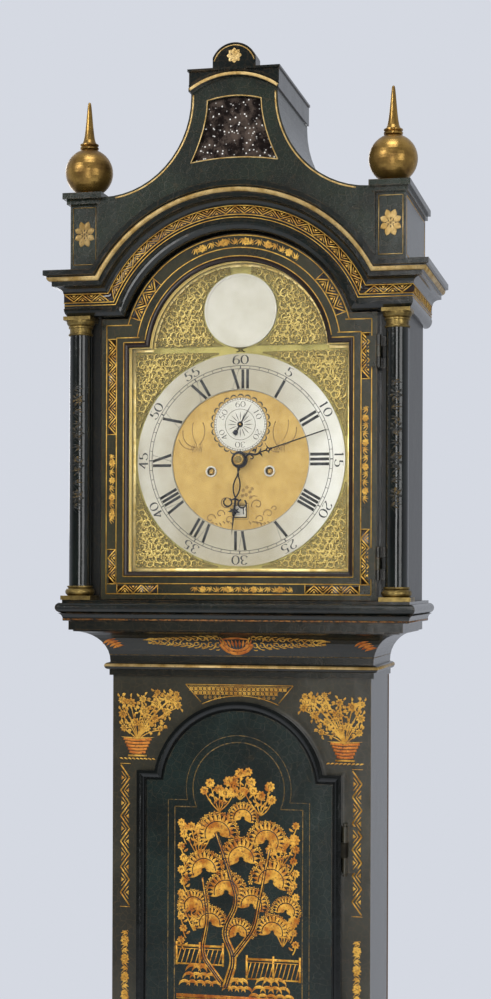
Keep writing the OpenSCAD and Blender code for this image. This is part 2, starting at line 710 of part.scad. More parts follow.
module hood_door_frame() color(japan) at_dial() slab(door_front, door_back) difference() {
    break_arch(door_half, hood_floor + 1, cornice_foot - 2, door_arch_r, arch_centre, 0);
    sight_outline(ovolo_w);
}

module hood_door_ovolo() {
    w = ovolo_w;
    prof = concat([[0, 0.6], [0.6, 0.6]], arc_pts(w - 1.3, 1, w - 1.9, 3, 180, 90, 6), [[w, 4]]);
    color(oak) at_dial() break_arch_moulding(prof, sight_half, -sight_half, sight_shoulder, sight_arch_r,
        arch_centre, door_front + 4);
    // gilt slip that holds the glass from behind
    color(gold) at_dial() slab(door_front + 6.7, door_back) difference() {
        sight_outline(ovolo_w);
        sight_outline(0);
    }
}

module hood_door_glass() color([0.8, 0.9, 0.9, 0.3]) at_dial()
    slab(door_front + 4.1, door_front + 6.6) sight_outline(ovolo_w - 0.4);

// Dial

module dial_plate() color(brass) at_dial() difference() {
    slab(dial_front, dial_front + 2) {
        translate([-dial_w / 2, -dial_w / 2]) square([dial_w, dial_w]);
        intersection() {
            translate([0, arch_centre]) circle(dial_arch_r);
            translate([-200, 0]) square([400, 400]);
        }
    }
    rod_y(0, 0, 6.4, dial_front - 1, dial_front + 3);
    on(escape_a, 1.8, dial_front - 1, dial_front + 3);
    for (a = [going_a, strike_a]) on(a, 5.2, dial_front - 1, dial_front + 3);
    // square aperture over the date ring
    span([-7.5, dial_front - 1, -74.5], [7.5, dial_front + 3, -60.5]);
}

// a flat ring on the dial, h thick, about c
module dial_ring(c, r1, r0, y, h) slab(y - h, y) translate(c) difference() {
    circle(r1);
    circle(r0);
}

module dial_rings() color(silver) at_dial() {
    dial_ring([0, 0], chapter_r, chapter_in, dial_front, 1.6);
    dial_ring(escape_a, seconds_r, seconds_r - 15.7, dial_front, 1.2);
    slab(dial_front - 2.2, dial_front) translate([0, boss_z]) circle(boss_r);
    dial_ring([0, boss_z], boss_r, boss_r - 2.6, dial_front - 2.2, 0.8);
    for (a = [going_a, strike_a]) dial_ring(a, 7.4, 5.2, dial_front, 1);
}

module spandrels() color(gold) at_dial() {
    c = sight_half;
    w = 66;
    for (sx = [-1, 1]) for (sz = [-1, 1]) slab(dial_front - 4, dial_front) difference() {
        translate([sx > 0 ? c - w : -c, sz > 0 ? c - w : -c]) square(w);
        circle(chapter_r + 3);
        if (sz > 0) translate([0, boss_z]) circle(boss_r + 8);
    }
    for (s = [-1, 1]) slab(dial_front - 4, dial_front) difference() {
        intersection() {
            translate([0, arch_centre]) circle(sight_arch_r - 4);
            translate([s > 0 ? 0 : -130, dial_w / 2 + 2.1]) square([130, 120]);
        }
        translate([0, boss_z]) circle(boss_r + 4);
        translate([-30, 0]) square([60, 400]);
    }
}

module date_ring() color(silver) at_dial() slab(dial_front + 2.6, dial_front + 4) difference() {
    circle(80);
    circle(56);
}

// Hands

module hour_hand() color(steel) at_dial() rotate([0, 186, 0]) slab(dial_front - 6.6, dial_front - 5.4) {
    difference() {
        union() {
            circle(9);
            translate([-3, 5]) square([6, 26]);
            translate([0, 30]) circle(9);
            translate([0, 43]) circle(5);
            translate([-13, 42]) square([26, 3.4]);
            polygon([[-2.6, 46], [2.6, 46], [4.6, 58], [0, 72.8], [-4.6, 58]]);
            for (s = [-1, 1]) translate([s * 9, 37]) circle(6);
        }
        circle(5.6);
        translate([0, 30]) circle(5);
        translate([0, 17]) circle(1.6);
        for (s = [-1, 1]) translate([s * 9, 37]) circle(3.6);
    }
}

module minute_hand() {
    side = [[2.4, 5], [3.4, 14], [2, 24], [3, 34], [1.9, 40], [0.7, 118], [0, 121]];
    color(steel) at_dial() rotate([0, 72, 0]) slab(dial_front - 11.2, dial_front - 9.8) difference() {
        union() {
            circle(8);
            polygon(concat(side, mirrored(side)));
            translate([0, 38]) circle(5);
            translate([-11, 27]) square([22, 2.6]);
            for (s = [-1, 1]) translate([s * 9, 30]) circle(4);
        }
        circle(3.2);
        translate([0, 38]) circle(2);
        for (s = [-1, 1]) translate([s * 9, 30]) circle(2);
    }
}

module seconds_hand() color(steel) at_dial() translate([0, 0, seconds_z]) rotate([0, 30, 0])
    slab(dial_front - 3.4, dial_front - 2.6) difference() {
        union() {
            circle(3.6);
            polygon([[-1, -8], [1, -8], [1.3, 0], [0.5, 26], [0, 27.5], [-0.5, 26], [-1.3, 0]]);
            translate([0, -10]) circle(3.2);
        }
        circle(1.26);
    }

// Movement

// radius of each arbor's pivot hole, with its running clearance
pivots = [[[0, 0], 2.56], [third_a, 0.96], [escape_a, 1.26], [pin_a, 1.06], [gather_a, 0.96],
    [warn_a, 0.86], [fly_a, 0.76], [pallet_a, 1.26], [going_a, 4.06], [strike_a, 4.06], [hammer_a, 1.56]];

module movement_plates() color(brass) at_dial() difference() {
    for (y = [plate_front, plate_back]) span([-66, y, plate_foot], [66, y + plate_t, plate_top]);
    for (q = pivots) on(q[0], q[1], plate_front - 1, plate_back + plate_t + 1);
    // the back cock carries the pallet arbor's rear pivot, so the back plate is cut clear of it
    on(pallet_a, 7, plate_back - 1, plate_back + plate_t + 1);
}

module plate_pillars() color(brass) at_dial() {
    long = plate_back - plate_front - plate_t;
    for (q = [[-48, -88], [48, -88], [-58, 78], [58, 78], [0, -80]])
        translate([q[0], plate_back, q[1]]) rotate([90, 0, 0]) rotate_extrude()
            polygon([[0, 0], [6, 0], [6, 3], [4, 5], [3.4, 18], [4.4, 24], [6, 26], [6, 29], [4.4, 31],
                [3.4, 37], [4, 50], [6, 52], [6, long], [0, long]]);
    for (q = [[-60, 60], [60, 60], [-60, -60], [60, -60]]) on(q, 2.4, dial_front + 2, plate_front);
    // stud of the minute wheel
    on(motion_a, stud_r, 3, plate_front);
    // back cock, screwed over the back plate, whose cheeks hold the pendulum's pin
    difference() {
        span([-30, plate_back + plate_t, pallet_z - 9], [30, cock_back, pallet_z + 9]);
        on(pallet_a, 1.26, plate_back, cock_back + 1);
    }
    span([-9, cock_back, pallet_z + 5], [9, pendulum_y + 9, pallet_z + 9]);
    for (y = [pendulum_y - 9, pendulum_y + 6]) span([-5, y, pallet_z - 4], [5, y + 3, pallet_z + 5]);
    on(pallet_a, 1.2, pendulum_y - 9, pendulum_y + 9);
    for (x = [-24, 24]) rod_y(x, pallet_z, 3, cock_back, cock_back + 2);
}

module bell() color(silver) at_dial() {
    foot = plate_top + 32;
    thick = 2.6;
    translate([0, line_y, foot]) rotate_extrude()
        polygon(concat(arc_pts(0, 0, bell_r, 32, 0, 90, 10), arc_pts(0, 0, bell_r - thick, 29.2, 90, 0, 10)));
    translate([0, line_y, foot + 31]) cylinder(h = 12, r = 3);
    translate([0, line_y, foot + 34]) cylinder(h = 4, r = 6);
    // standard screwed to the back plate
    rear = plate_back + plate_t;
    span([34, rear, plate_top - 36], [42, rear + 3, foot + 46]);
    span([-4, rear, foot + 43], [42, rear + 3, foot + 46]);
    span([-4, line_y - 4, foot + 43], [4, rear + 3, foot + 46]);
}

// Motion work

// modules of the cannon wheel's and the hour wheel's mesh
cannon_m = 2 * motion_d / 72;
hour_m = 2 * motion_d / 78;

module hour_wheel() color(brass) at_dial() {
    difference() {
        union() {
            wheel([0, 0], 72, hour_m, toward([0, 0], motion_a), 5, 1.4, 0);
            rod_y(0, 0, 5.5, dial_front - 6.8, 5.01);
        }
        rod_y(0, 0, 3.18, dial_front - 8, 8);
    }
    // snail of the strike, on the same pipe
    difference() {
        slab(2.6, 3.8) union() for (i = [0:11]) polygon(window(0.01, 9 + 0.8 * i, 30 * i, 30 * i + 30.5));
        rod_y(0, 0, 5, 2, 4.5);
    }
}

module centre_wheel() color(brass) at_dial() {
    wheel([0, 0], centre_t[0], centre_t[2], toward([0, 0], third_a), 68, 1.4, 4);
    pinion([0, 0], great_t[1], great_m, toward(going_a, [0, 0]) + 180 + 22.5, 18.6, 5);
    rod_y(0, 0, 2.5, dial_front - 12, plate_back + plate_t - 0.2);
    rod_y(0, 0, 4.4, 60, 68.01);
    // cannon pinion with its pipe, and the collet of the minute hand
    wheel([0, 0], 36, cannon_m, -90, 9, 1.4, 0);
    rod_y(0, 0, 3.1, dial_front - 11.4, 12.5);
    rod_y(0, 0, 6.2, dial_front - 13.2, dial_front - 11.3);
}

module minute_wheel() color(brass) at_dial() difference() {
    union() {
        wheel(motion_a, 36, cannon_m, 90 + 5, 9, 1.4, 0);
        pinion(motion_a, 6, hour_m, 90 + 30, 4.4, 4.61);
    }
    on(motion_a, stud_r + 0.07, 2, 12);
}

// Going train

module going_great_wheel() color(brass) at_dial() difference() {
    wheel(going_a, great_t[0], great_m, toward(going_a, [0, 0]), 20, 2.4, 4);
    on(going_a, 4.06, 19, 24);
}

module third_wheel() color(brass) at_dial() {
    wheel(third_a, third_t[0], third_t[2], toward(third_a, escape_a), 30, 1.4, 4);
    pinion(third_a, centre_t[1], centre_t[2], toward([0, 0], third_a) + 180 + 22.5, 66.4, 4.6);
    arbor(third_a, 1.7, 0.9);
    on(third_a, 3.6, 31.3, 36);
}

module escape_wheel() color(brass) at_dial() {
    // thirty pointed teeth
    teeth = [for (i = [0:29]) for (q = [[0, -2.6], [1.4, 0], [8, -2.6]])
        (escape_r + q[1]) * [cos(12 * i + q[0]), sin(12 * i + q[0])]];
    slab(60, 61.3) translate(escape_a) difference() {
        polygon(teeth);
        for (i = [0:3]) polygon(window(4.6, escape_r - 4.6, 90 * i + 10, 90 * i + 80));
    }
    pinion(escape_a, third_t[1], third_t[2], toward(third_a, escape_a) + 180 + 180 / 7, 28.8, 3.8);
    on(escape_a, 1.5, plate_front + plate_t + 0.5, plate_back - 0.5);
    on(escape_a, 1.2, dial_front - 3.8, plate_back + plate_t - 0.2);
    on(escape_a, 3.2, 55, 60.01);
}

// a winding barrel on its arbor at c, with its ratchet and the square for the key
module barrel(c) {
    rim = 1.6;
    y0 = 24.6;
    y1 = 57.6;
    on(c, 4, plate_front + 0.2, plate_back + plate_t - 0.2);
    on(c, 3.4, dial_front + 8, plate_front + 0.3);
    span([c[0] - 2.5, dial_front + 0.6, c[1] - 2.5], [c[0] + 2.5, dial_front + 8.1, c[1] + 2.5]);
    on(c, barrel_line_r - 1, y0, y1);
    for (y = [y0, y1 - rim]) on(c, barrel_line_r + 2, y, y + rim);
    ratchet = [for (i = [0:23]) for (q = [[0, 12], [3, 14]]) q[1] * [cos(15 * i + q[0]), sin(15 * i + q[0])]];
    slab(23, y0 + 0.1) translate(c) polygon(ratchet);
}

module going_barrel() color(brass) at_dial() barrel(going_a);

module strike_barrel() color(brass) at_dial() barrel(strike_a);

// Striking train

module strike_great_wheel() color(brass) at_dial() difference() {
    wheel(strike_a, strike_t[0], strike_t[2], toward(strike_a, pin_a), 20, 2.4, 4);
    on(strike_a, 4.06, 19, 24);
}

module pin_wheel() color(brass) at_dial() {
    up = toward(pin_a, gather_a);
    wheel(pin_a, pin_t[0], pin_t[2], up, 65.2, 1.4, 4);
    for (i = [0:7]) on(step(pin_a, 21.7, up + 22 + 45 * i), 0.8, 60, 65.3);
    pinion(pin_a, strike_t[1], strike_t[2], toward(strike_a, pin_a) + 180 + 22.5, 18.8, 4.8);
    arbor(pin_a, 2, 1);
    on(pin_a, 4, 61, 65.3);
}

module gathering_wheel() color(brass) at_dial() {
    wheel(gather_a, gather_t[0], gather_t[2], toward(gather_a, warn_a), 36, 1.3, 4);
    pinion(gather_a, pin_t[1], pin_t[2], toward(pin_a, gather_a) + 180 + 22.5, 64, 4);
    arbor(gather_a, 1.7, 0.9);
    on(gather_a, 3.6, 37.2, 42);
}

module warning_wheel() color(brass) at_dial() {
    wheel(warn_a, warn_t[0], warn_t[2], toward(warn_a, fly_a), 44, 1.2, 3);
    pinion(warn_a, gather_t[1], gather_t[2], toward(gather_a, warn_a) + 180 + 22.5, 34.9, 3.6);
    arbor(warn_a, 1.5, 0.8);
    on(warn_a, 3.2, 45.1, 50);
}

module fly() color(brass) at_dial() {
    pinion(fly_a, warn_t[1], warn_t[2], toward(warn_a, fly_a) + 180 + 180 / 7, 43, 3.4);
    arbor(fly_a, 1.3, 0.7);
    difference() {
        span([fly_a[0] - 13, 21, fly_a[1] - 0.4], [fly_a[0] + 13, 34, fly_a[1] + 0.4]);
        on(fly_a, 1.2, 20, 35);
    }
    on(fly_a, 2.1, 21, 34);
}

module hammer() color(steel) at_dial() {
    x = hammer_a[0];
    z = hammer_a[1];
    on(hammer_a, 2.2, plate_front + plate_t + 0.5, plate_back - 0.5);
    on(hammer_a, 1.5, plate_front + 0.2, plate_back + plate_t - 0.2);
    slab(48.4, 50.6) translate(hammer_a)
        polygon([[-2.6, 1], [1, -2.6], [14.4, 18], [14.4, 50.6], [6.2, 72], [6.2, 80], [3.6, 80], [3.6, 71.6],
            [11.8, 50.2], [11.8, 18.8]]);
    rod_y(x + 4.8, z + 80, 6, 42, 54);
    // tail, held a little clear of the pins
    slab(61, 63.4) translate(hammer_a) polygon([[-2, -1], [2, 1], [4.6, -5.4], [3.2, -6.4]]);
}

// Escapement and pendulum

module anchor() color(steel) at_dial() {
    arm = [[9, 1], [17, -7], [18.5, -13], [13.4, -10.9], [14.4, -8], [8, -3.4]];
    on(pallet_a, 1.9, plate_front + plate_t + 0.5, plate_back + plate_t - 0.6);
    on(pallet_a, 1.2, plate_front + 0.2, cock_back + 5);
    slab(59.2, 62.2) translate(pallet_a) polygon(concat([[0, 4]], arm, [[0, -3]], mirrored(arm)));
    // crutch with its fork round the pendulum rod
    y0 = cock_back + 2;
    y1 = cock_back + 4;
    on(pallet_a, 3.2, y0 - 1, y1 + 1);
    span([-1.4, y0, -32], [1.4, y1, pallet_z]);
    span([-6, y0, -34], [6, y1, -30]);
    for (s = [-1, 1]) side_span(s, 3.2, 6, y0, pendulum_y + 6, -34, -30);
}

bob_z = pallet_z - pendulum_len;

module pendulum_rod() color(steel) at_dial() {
    difference() {
        union() {
            on(pallet_a, 3.6, pendulum_y - 5, pendulum_y + 5);
            span([-2.2, pendulum_y - 4, pallet_z - 30], [2.2, pendulum_y + 4, pallet_z - 1]);
        }
        on(pallet_a, 1.27, pendulum_y - 8, pendulum_y + 8);
    }
    translate([0, pendulum_y, bob_z - bob_r - 32]) cylinder(h = pendulum_len + bob_r + 4, r = 2.6);
    // rating nut under the bob
    translate([0, pendulum_y, bob_z - bob_r - 16]) cylinder(h = 6, r = 9);
    translate([0, pendulum_y, bob_z - bob_r - 10]) cylinder(h = 9.5, r = 5);
}

module pendulum_bob() color(brass) at_dial() translate([0, pendulum_y, bob_z]) difference() {
    rotate([90, 0, 0]) rotate_extrude() polygon(concat([[0, -13]], arc_pts(0, -1, bob_r, 12, -80, 0, 7),
        arc_pts(0, 1, bob_r, 12, 0, 80, 7), [[0, 13]]));
    translate([0, 0, -bob_r - 10]) cylinder(h = 2 * bob_r + 20, r = 2.7);
}

// Weights

// a brass-cased weight with its hook, stirrup and sheave, the line's barrel side at x
module weight(x) {
    c = x + sheave_r;
    r = weight_r;
    long = weight_len;
    translate([c, line_y, weight_top - long]) rotate_extrude()
        polygon([[0, 0], [r - 2, 0], [r, 2], [r, long - 8], [r - 3, long - 2], [6, long], [0, long]]);
    translate([c, line_y, weight_top - 0.1]) cylinder(h = 14, r = 2.4);
    span([c - 4, line_y - 9, weight_top + 10], [c + 4, line_y + 9, weight_top + 14]);
    for (y = [line_y - 9, line_y + 7]) span([c - 5, y, weight_top + 13.9], [c + 5, y + 2, sheave_z + 8]);
    // sheave with its groove
    rim = sheave_r + 1.6;
    groove = sheave_r - 1;
    translate([c, line_y + 5, sheave_z]) rotate([90, 0, 0]) rotate_extrude()
        polygon([[0, 0], [rim, 0], [rim, 2], [groove, 4.2], [groove, 5.8], [rim, 8], [rim, 10], [0, 10]]);
    rod_y(c, sheave_z, 2, line_y - 10, line_y + 10);
}

module going_weight() color(brass) at_dial() weight(going_line_x);

module strike_weight() color(brass) at_dial() weight(strike_line_x);

// gut line: down from the barrel at x, round the sheave and up to the seatboard
module gut(x) {
    r = 0.8;
    x2 = x + 2 * sheave_r;
    translate([x, line_y, sheave_z]) cylinder(h = winding_z - sheave_z, r = r);
    translate([x2, line_y, sheave_z]) cylinder(h = plate_foot + 3 - sheave_z, r = r);
    translate([x2, line_y, plate_foot]) cylinder(h = 3.4, r = 3.6);
    translate([x + sheave_r, line_y, sheave_z]) rotate([90, 0, 0])
        rotate_extrude(angle = 180, start = 180) translate([sheave_r, 0]) circle(r);
}

module going_line() color(oak) at_dial() gut(going_line_x);

module strike_line() color(oak) at_dial() gut(strike_line_x);

skirting();
base_boards();
base_moulding();
trunk_frame();
trunk_sides();
backboard();
throat_moulding();
seatboard();
trunk_frame_hinges();
trunk_door_panel();
trunk_door_moulding();
trunk_door_hardware();
hood_base_frame();
hood_sides();
hood_front_boards();
hood_cornice();
hood_roof();
side_pedestals();
finials();
pediment_case();
pediment_cresting();
mirror_plate();
hood_columns();
column_mounts();
hood_frame_hinges();
hood_door_frame();
hood_door_ovolo();
hood_door_glass();
hood_door_hinges();
dial_plate();
dial_rings();
spandrels();
movement_plates();
plate_pillars();
bell();
date_ring();
hour_hand();
hour_wheel();
minute_hand();
centre_wheel();
minute_wheel();
seconds_hand();
escape_wheel();
third_wheel();
going_great_wheel();
going_barrel();
strike_great_wheel();
strike_barrel();
pin_wheel();
gathering_wheel();
warning_wheel();
fly();
hammer();
anchor();
pendulum_rod();
pendulum_bob();
going_weight();
strike_weight();
going_line();
strike_line();
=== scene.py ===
import math
import bmesh
import bpy
import numpy as np
from mathutils import Matrix, Vector


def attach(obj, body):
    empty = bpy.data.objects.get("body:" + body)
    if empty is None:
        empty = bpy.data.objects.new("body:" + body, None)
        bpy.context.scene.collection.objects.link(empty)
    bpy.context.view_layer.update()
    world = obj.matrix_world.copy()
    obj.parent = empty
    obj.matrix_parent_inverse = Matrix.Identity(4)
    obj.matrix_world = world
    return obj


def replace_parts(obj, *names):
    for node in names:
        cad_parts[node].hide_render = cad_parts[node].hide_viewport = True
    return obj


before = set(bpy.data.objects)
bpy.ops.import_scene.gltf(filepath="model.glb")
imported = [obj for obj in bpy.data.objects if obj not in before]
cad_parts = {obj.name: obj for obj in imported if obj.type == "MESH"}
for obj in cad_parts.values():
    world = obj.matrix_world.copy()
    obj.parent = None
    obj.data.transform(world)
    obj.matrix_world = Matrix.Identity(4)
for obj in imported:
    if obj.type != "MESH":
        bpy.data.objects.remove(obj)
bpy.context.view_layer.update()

# View: the camera stands in front and a little to the right, level with the foot of the hood,
# and looks straight at the wall. Its picture is shifted up, as with a view camera, so that the
# case's edges stay upright.

eye = bpy.data.objects.new("view_camera", bpy.data.cameras.new("view_camera"))
bpy.context.collection.objects.link(eye)
aside, roll = math.radians(12.71), math.radians(0.21)
eye.matrix_world = (Matrix.Translation((0.534, -2.3875, 1.6074)) @ Matrix.Rotation(aside, 4, "Z")
                    @ Matrix.Rotation(math.radians(90), 4, "X") @ Matrix.Rotation(roll, 4, "Z"))
eye.data.sensor_width = 36
eye.data.lens = 65.69
eye.data.shift_y = 0.079
bpy.context.scene.camera = eye
bpy.context.scene.view_settings.view_transform = "Standard"


# Studio: a pale matt floor and a pale surround that only the camera, gloss and glass see. Gloss
# sees it dimmer in front of the clock, where the room is. Soft lamps: a broad one high at the
# left, fills at the right and behind the camera, one over the top and one behind.


def rgb(code):
    """A colour written as sRGB hex, turned to the linear values that the shaders read."""
    s = np.array([int(code[i:i + 2], 16) for i in (1, 3, 5)]) / 255
    linear = np.where(s <= 0.04045, s / 12.92, ((s + 0.055) / 1.055) ** 2.4)
    return (*linear.tolist(), 1.0)


def add(tree, kind, inputs=None, **settings):
    """Adds a node. settings are its own properties. inputs gives each socket, by number or name, a
    plain value, a hex colour, or a socket or node to link from."""
    made = tree.nodes.new("ShaderNode" + kind)
    for name, value in settings.items():
        setattr(made, name, value)
    for name, value in (inputs or {}).items():
        into = made.inputs[name] if isinstance(name, int) else next(
            socket for socket in made.inputs if socket.enabled and socket.name == name)
        if isinstance(value, bpy.types.Node):
            value = next(socket for socket in value.outputs if socket.enabled)
        if isinstance(value, bpy.types.NodeSocket):
            tree.links.new(value, into)
        else:
            into.default_value = rgb(value) if isinstance(value, str) else value
    return made


def finish(name):
    """A new material, its empty tree, and the place on the piece in metres."""
    made = bpy.data.materials.new(name)
    made.use_nodes = True
    made.node_tree.nodes.clear()
    return made, made.node_tree, add(made.node_tree, "TexCoord").outputs["Object"]


def surface(tree, inputs):
    """Ends a tree with its shader, which those inputs feed, and the output."""
    skin = add(tree, "BsdfPrincipled", inputs)
    add(tree, "OutputMaterial", {"Surface": skin})


air = bpy.data.worlds.new("studio_air")
air.use_nodes = True
sky = air.node_tree
sky.nodes.clear()
ray = add(sky, "LightPath").outputs
facing = add(sky, "SeparateXYZ", {0: add(sky, "TexCoord").outputs["Generated"]})
room = add(sky, "MapRange", {"Value": facing.outputs["Y"], "From Min": -0.75, "From Max": 0.1,
                             "To Min": 0.09, "To Max": 0.7}, interpolation_type="SMOOTHSTEP")
clear = add(sky, "Math", {0: ray["Is Camera Ray"], 1: ray["Is Transmission Ray"]}, operation="MAXIMUM")
level = add(sky, "Math", {0: room, 1: clear}, operation="MAXIMUM")
seen = add(sky, "Math", {0: clear, 1: ray["Is Glossy Ray"]}, operation="MAXIMUM")
soft = add(sky, "Background", {"Color": "#f4f6fa", "Strength": 0.34})
white = add(sky, "Background", {"Color": "#d5d9e2", "Strength": level})
add(sky, "OutputWorld", {0: add(sky, "MixShader", {0: seen, 1: soft, 2: white})})
bpy.context.scene.world = air

for name, place, aim, size, power in [
        ("lamp_left", (-2.3, -3.0, 3.4), (0, 0, 1.6), (1.5, 1.5), 64),
        ("lamp_right", (2.6, -2.6, 2.2), (0, 0, 1.5), (1.6, 1.6), 24),
        ("lamp_front", (0.3, -3.0, 1.7), (0, 0, 1.6), (0.7, 2.2), 24),
        ("lamp_top", (0.2, -1.2, 4.4), (0, 0, 1.8), (1.4, 1.4), 30),
        ("lamp_back", (-1.7, 3.0, 2.6), (0, 0, 1.4), (1.8, 1.8), 26)]:
    lamp = bpy.data.objects.new(name, bpy.data.lights.new(name, "AREA"))
    lamp.data.shape = "RECTANGLE"
    lamp.data.size, lamp.data.size_y = size
    lamp.data.energy = power
    lamp.location = place
    lamp.rotation_euler = (Vector(aim) - lamp.location).to_track_quat("-Z", "Y").to_euler()
    bpy.context.collection.objects.link(lamp)

floor = bpy.data.meshes.new("studio_floor")
floor.from_pydata([(-6, -6, 0), (6, -6, 0), (6, 3.4, 0), (-6, 3.4, 0)], [], [(0, 1, 2, 3)])
floor = bpy.data.objects.new("studio_floor", floor)
bpy.context.collection.objects.link(floor)
paint, tree, spot = finish("pale_floor_paint")
surface(tree, {"Base Color": "#dfe3ea", "Roughness": 0.9})
floor.data.materials.append(paint)


# Carcase: skirting, base, trunk frame and sides, and the mitred mouldings between them, of pine and
# oak. They are japanned: black varnish in many thin coats over gesso, rubbed down and polished,
# which has crazed with age and is rubbed brown on its edges.

def patches(tree, spot, size, detail, rough, low, high):
    """Patches of that size in millimetres: a noise stretched so that low reads 0 and high reads 1."""
    cloud = add(tree, "TexNoise", {"Vector": spot, "Scale": 1000 / size, "Detail": detail,
                                   "Roughness": rough})
    return add(tree, "MapRange", {"Value": cloud, "From Min": low, "From Max": high})


def drift(tree, spot, size, detail, rough, low, high, one, two):
    """A tone that drifts between two colours in such patches."""
    mask = patches(tree, spot, size, detail, rough, low, high)
    return add(tree, "Mix", {"Factor": mask, "A": one, "B": two}, data_type="RGBA")


def fine_grain(tree, spot, size, depth):
    """Relief of a fine noise of that size in millimetres and that depth in metres."""
    grain = add(tree, "TexNoise", {"Vector": spot, "Scale": 1000 / size, "Detail": 2.0})
    return add(tree, "Bump", {"Height": grain, "Distance": depth})


def japan(name, ground, cloud, rubbed, gloss=0.18):
    """Old japan. Its clouds are 70 mm wide, the crazing nets 9 mm, the dents 30 mm and the brush
    marks 2 mm. Where a 2.5 mm bevel would turn the surface, an edge is rubbed."""
    made, tree, spot = finish(name)
    tone = drift(tree, spot, 70, 5.0, 0.62, 0.38, 0.66, ground, cloud)
    specks = add(tree, "TexNoise", {"Vector": spot, "Scale": 1000 / 2.2, "Detail": 3.0, "Roughness": 0.7})
    net = add(tree, "TexVoronoi", {"Vector": spot, "Scale": 1000 / 9}, feature="DISTANCE_TO_EDGE")
    crack = add(tree, "MapRange", {"Value": net, "From Max": 0.05, "To Min": 1.0, "To Max": 0.0})
    faint = add(tree, "Math", {0: crack, 1: specks}, operation="MULTIPLY")
    faint = add(tree, "Math", {0: faint, 1: 0.55}, operation="MULTIPLY")
    tone = add(tree, "Mix", {"Factor": faint, "A": tone, "B": rubbed}, data_type="RGBA")
    round_edge, face = add(tree, "Bevel", {"Radius": 0.0025}, samples=4), add(tree, "NewGeometry")
    edge = add(tree, "VectorMath", {0: round_edge, 1: face.outputs["Normal"]}, operation="DOT_PRODUCT")
    edge = add(tree, "MapRange", {"Value": edge, "From Min": 0.985, "From Max": 0.86})
    wear = patches(tree, spot, 16, 4.0, 0.7, 0.44, 0.62)
    worn = add(tree, "Math", {0: edge, 1: wear}, operation="MULTIPLY")
    tone = add(tree, "Mix", {"Factor": worn, "A": tone, "B": rubbed}, data_type="RGBA")
    dull = add(tree, "MapRange", {"Value": specks, "To Min": gloss, "To Max": gloss + 0.12})
    dents = add(tree, "TexNoise", {"Vector": spot, "Scale": 1000 / 30, "Detail": 2.0})
    low = add(tree, "Bump", {"Height": dents, "Distance": 0.0012, "Strength": 0.5})
    low = add(tree, "Bump", {"Height": crack, "Distance": 0.00002, "Normal": low}, invert=True)
    low = add(tree, "Bump", {"Height": specks, "Distance": 0.00002, "Normal": low})
    surface(tree, {"Base Color": tone, "Roughness": dull, "Coat Weight": 0.25, "Coat Roughness": 0.16,
                   "Normal": low})
    return made


def dress(made, *nodes):
    """Gives the CAD nodes of those names that material."""
    for name in nodes:
        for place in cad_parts[name].material_slots:
            place.material = made


black_japan = japan("black_japan", "#11120d", "#1f1f17", "#4a3b27")
dress(black_japan, "skirting", "base_boards", "base_moulding", "trunk_sides", "throat_moulding")
green_japan = japan("green_black_japan", "#2c2a21", "#39372c", "#5d4a2e")
dress(green_japan, "trunk_frame")


# Gilding of the carcase: leaf and shell gold laid in raised strokes of size over the japan, with
# red-brown lacquer behind the running patterns. Each stroke is a low ridge, 0.3 mm high.

def gilding(name, leaf, bright, bole, worn):
    """Gold on red bole. The leaf's tone drifts over 14 mm, and rubbed spots 3 mm wide show the bole."""
    made, tree, spot = finish(name)
    tone = drift(tree, spot, 14, 4.0, 0.6, 0.38, 0.6, leaf, bright)
    rub = patches(tree, spot, 3, 4.0, 0.65, worn, worn + 0.12)
    tone = add(tree, "Mix", {"Factor": rub, "A": tone, "B": bole}, data_type="RGBA")
    whole = add(tree, "MapRange", {"Value": rub, "To Min": 0.55, "To Max": 0.0})
    surface(tree, {"Base Color": tone, "Metallic": whole, "Roughness": 0.42,
                   "Normal": fine_grain(tree, spot, 1.2, 0.00006)})
    return made


case_gold = gilding("case_gilding", "#b9812c", "#dfae4c", "#6b3413", 0.56)
red_lacquer = japan("red_brown_lacquer", "#1a0d06", "#2c1508", "#100905")
dial_centre = (0.0, -0.0435, 1.763)


def make(name, points, faces, made, body, smooth=True):
    """A piece from points in millimetres about the dial's centre, moved to the model's frame."""
    mesh = bpy.data.meshes.new(name)
    mesh.from_pydata((points * 0.001 + dial_centre).tolist(), [], faces)
    tidy = bmesh.new()
    tidy.from_mesh(mesh)
    bmesh.ops.recalc_face_normals(tidy, faces=tidy.faces)
    tidy.to_mesh(mesh)
    tidy.free()
    mesh.shade_smooth() if smooth else mesh.shade_flat()
    mesh.materials.append(made)
    piece = bpy.data.objects.new(name, mesh)
    bpy.context.collection.objects.link(piece)
    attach(piece, body)
    return piece


def bars(grid):
    """Faces of closed bars. grid holds the points of each bar, station by station, and at each
    station the points round its section: four-cornered faces between neighbours, and two end caps."""
    bar, station, ring = grid.shape[:3]
    at = np.arange(bar * station * ring).reshape(bar, station, ring)
    here, there = at[:, :-1], at[:, 1:]
    sides = np.stack([here, np.roll(here, -1, 2), np.roll(there, -1, 2), there], -1).reshape(-1, 4)
    caps = np.concatenate([at[:, 0, ::-1], at[:, -1]])
    return sides.tolist() + caps.tolist()


def flat(y):
    """Onto an upright face at depth y that looks to the front: u runs right and v up."""
    return lambda u, v, lift: np.stack([u, y - lift, v], -1)


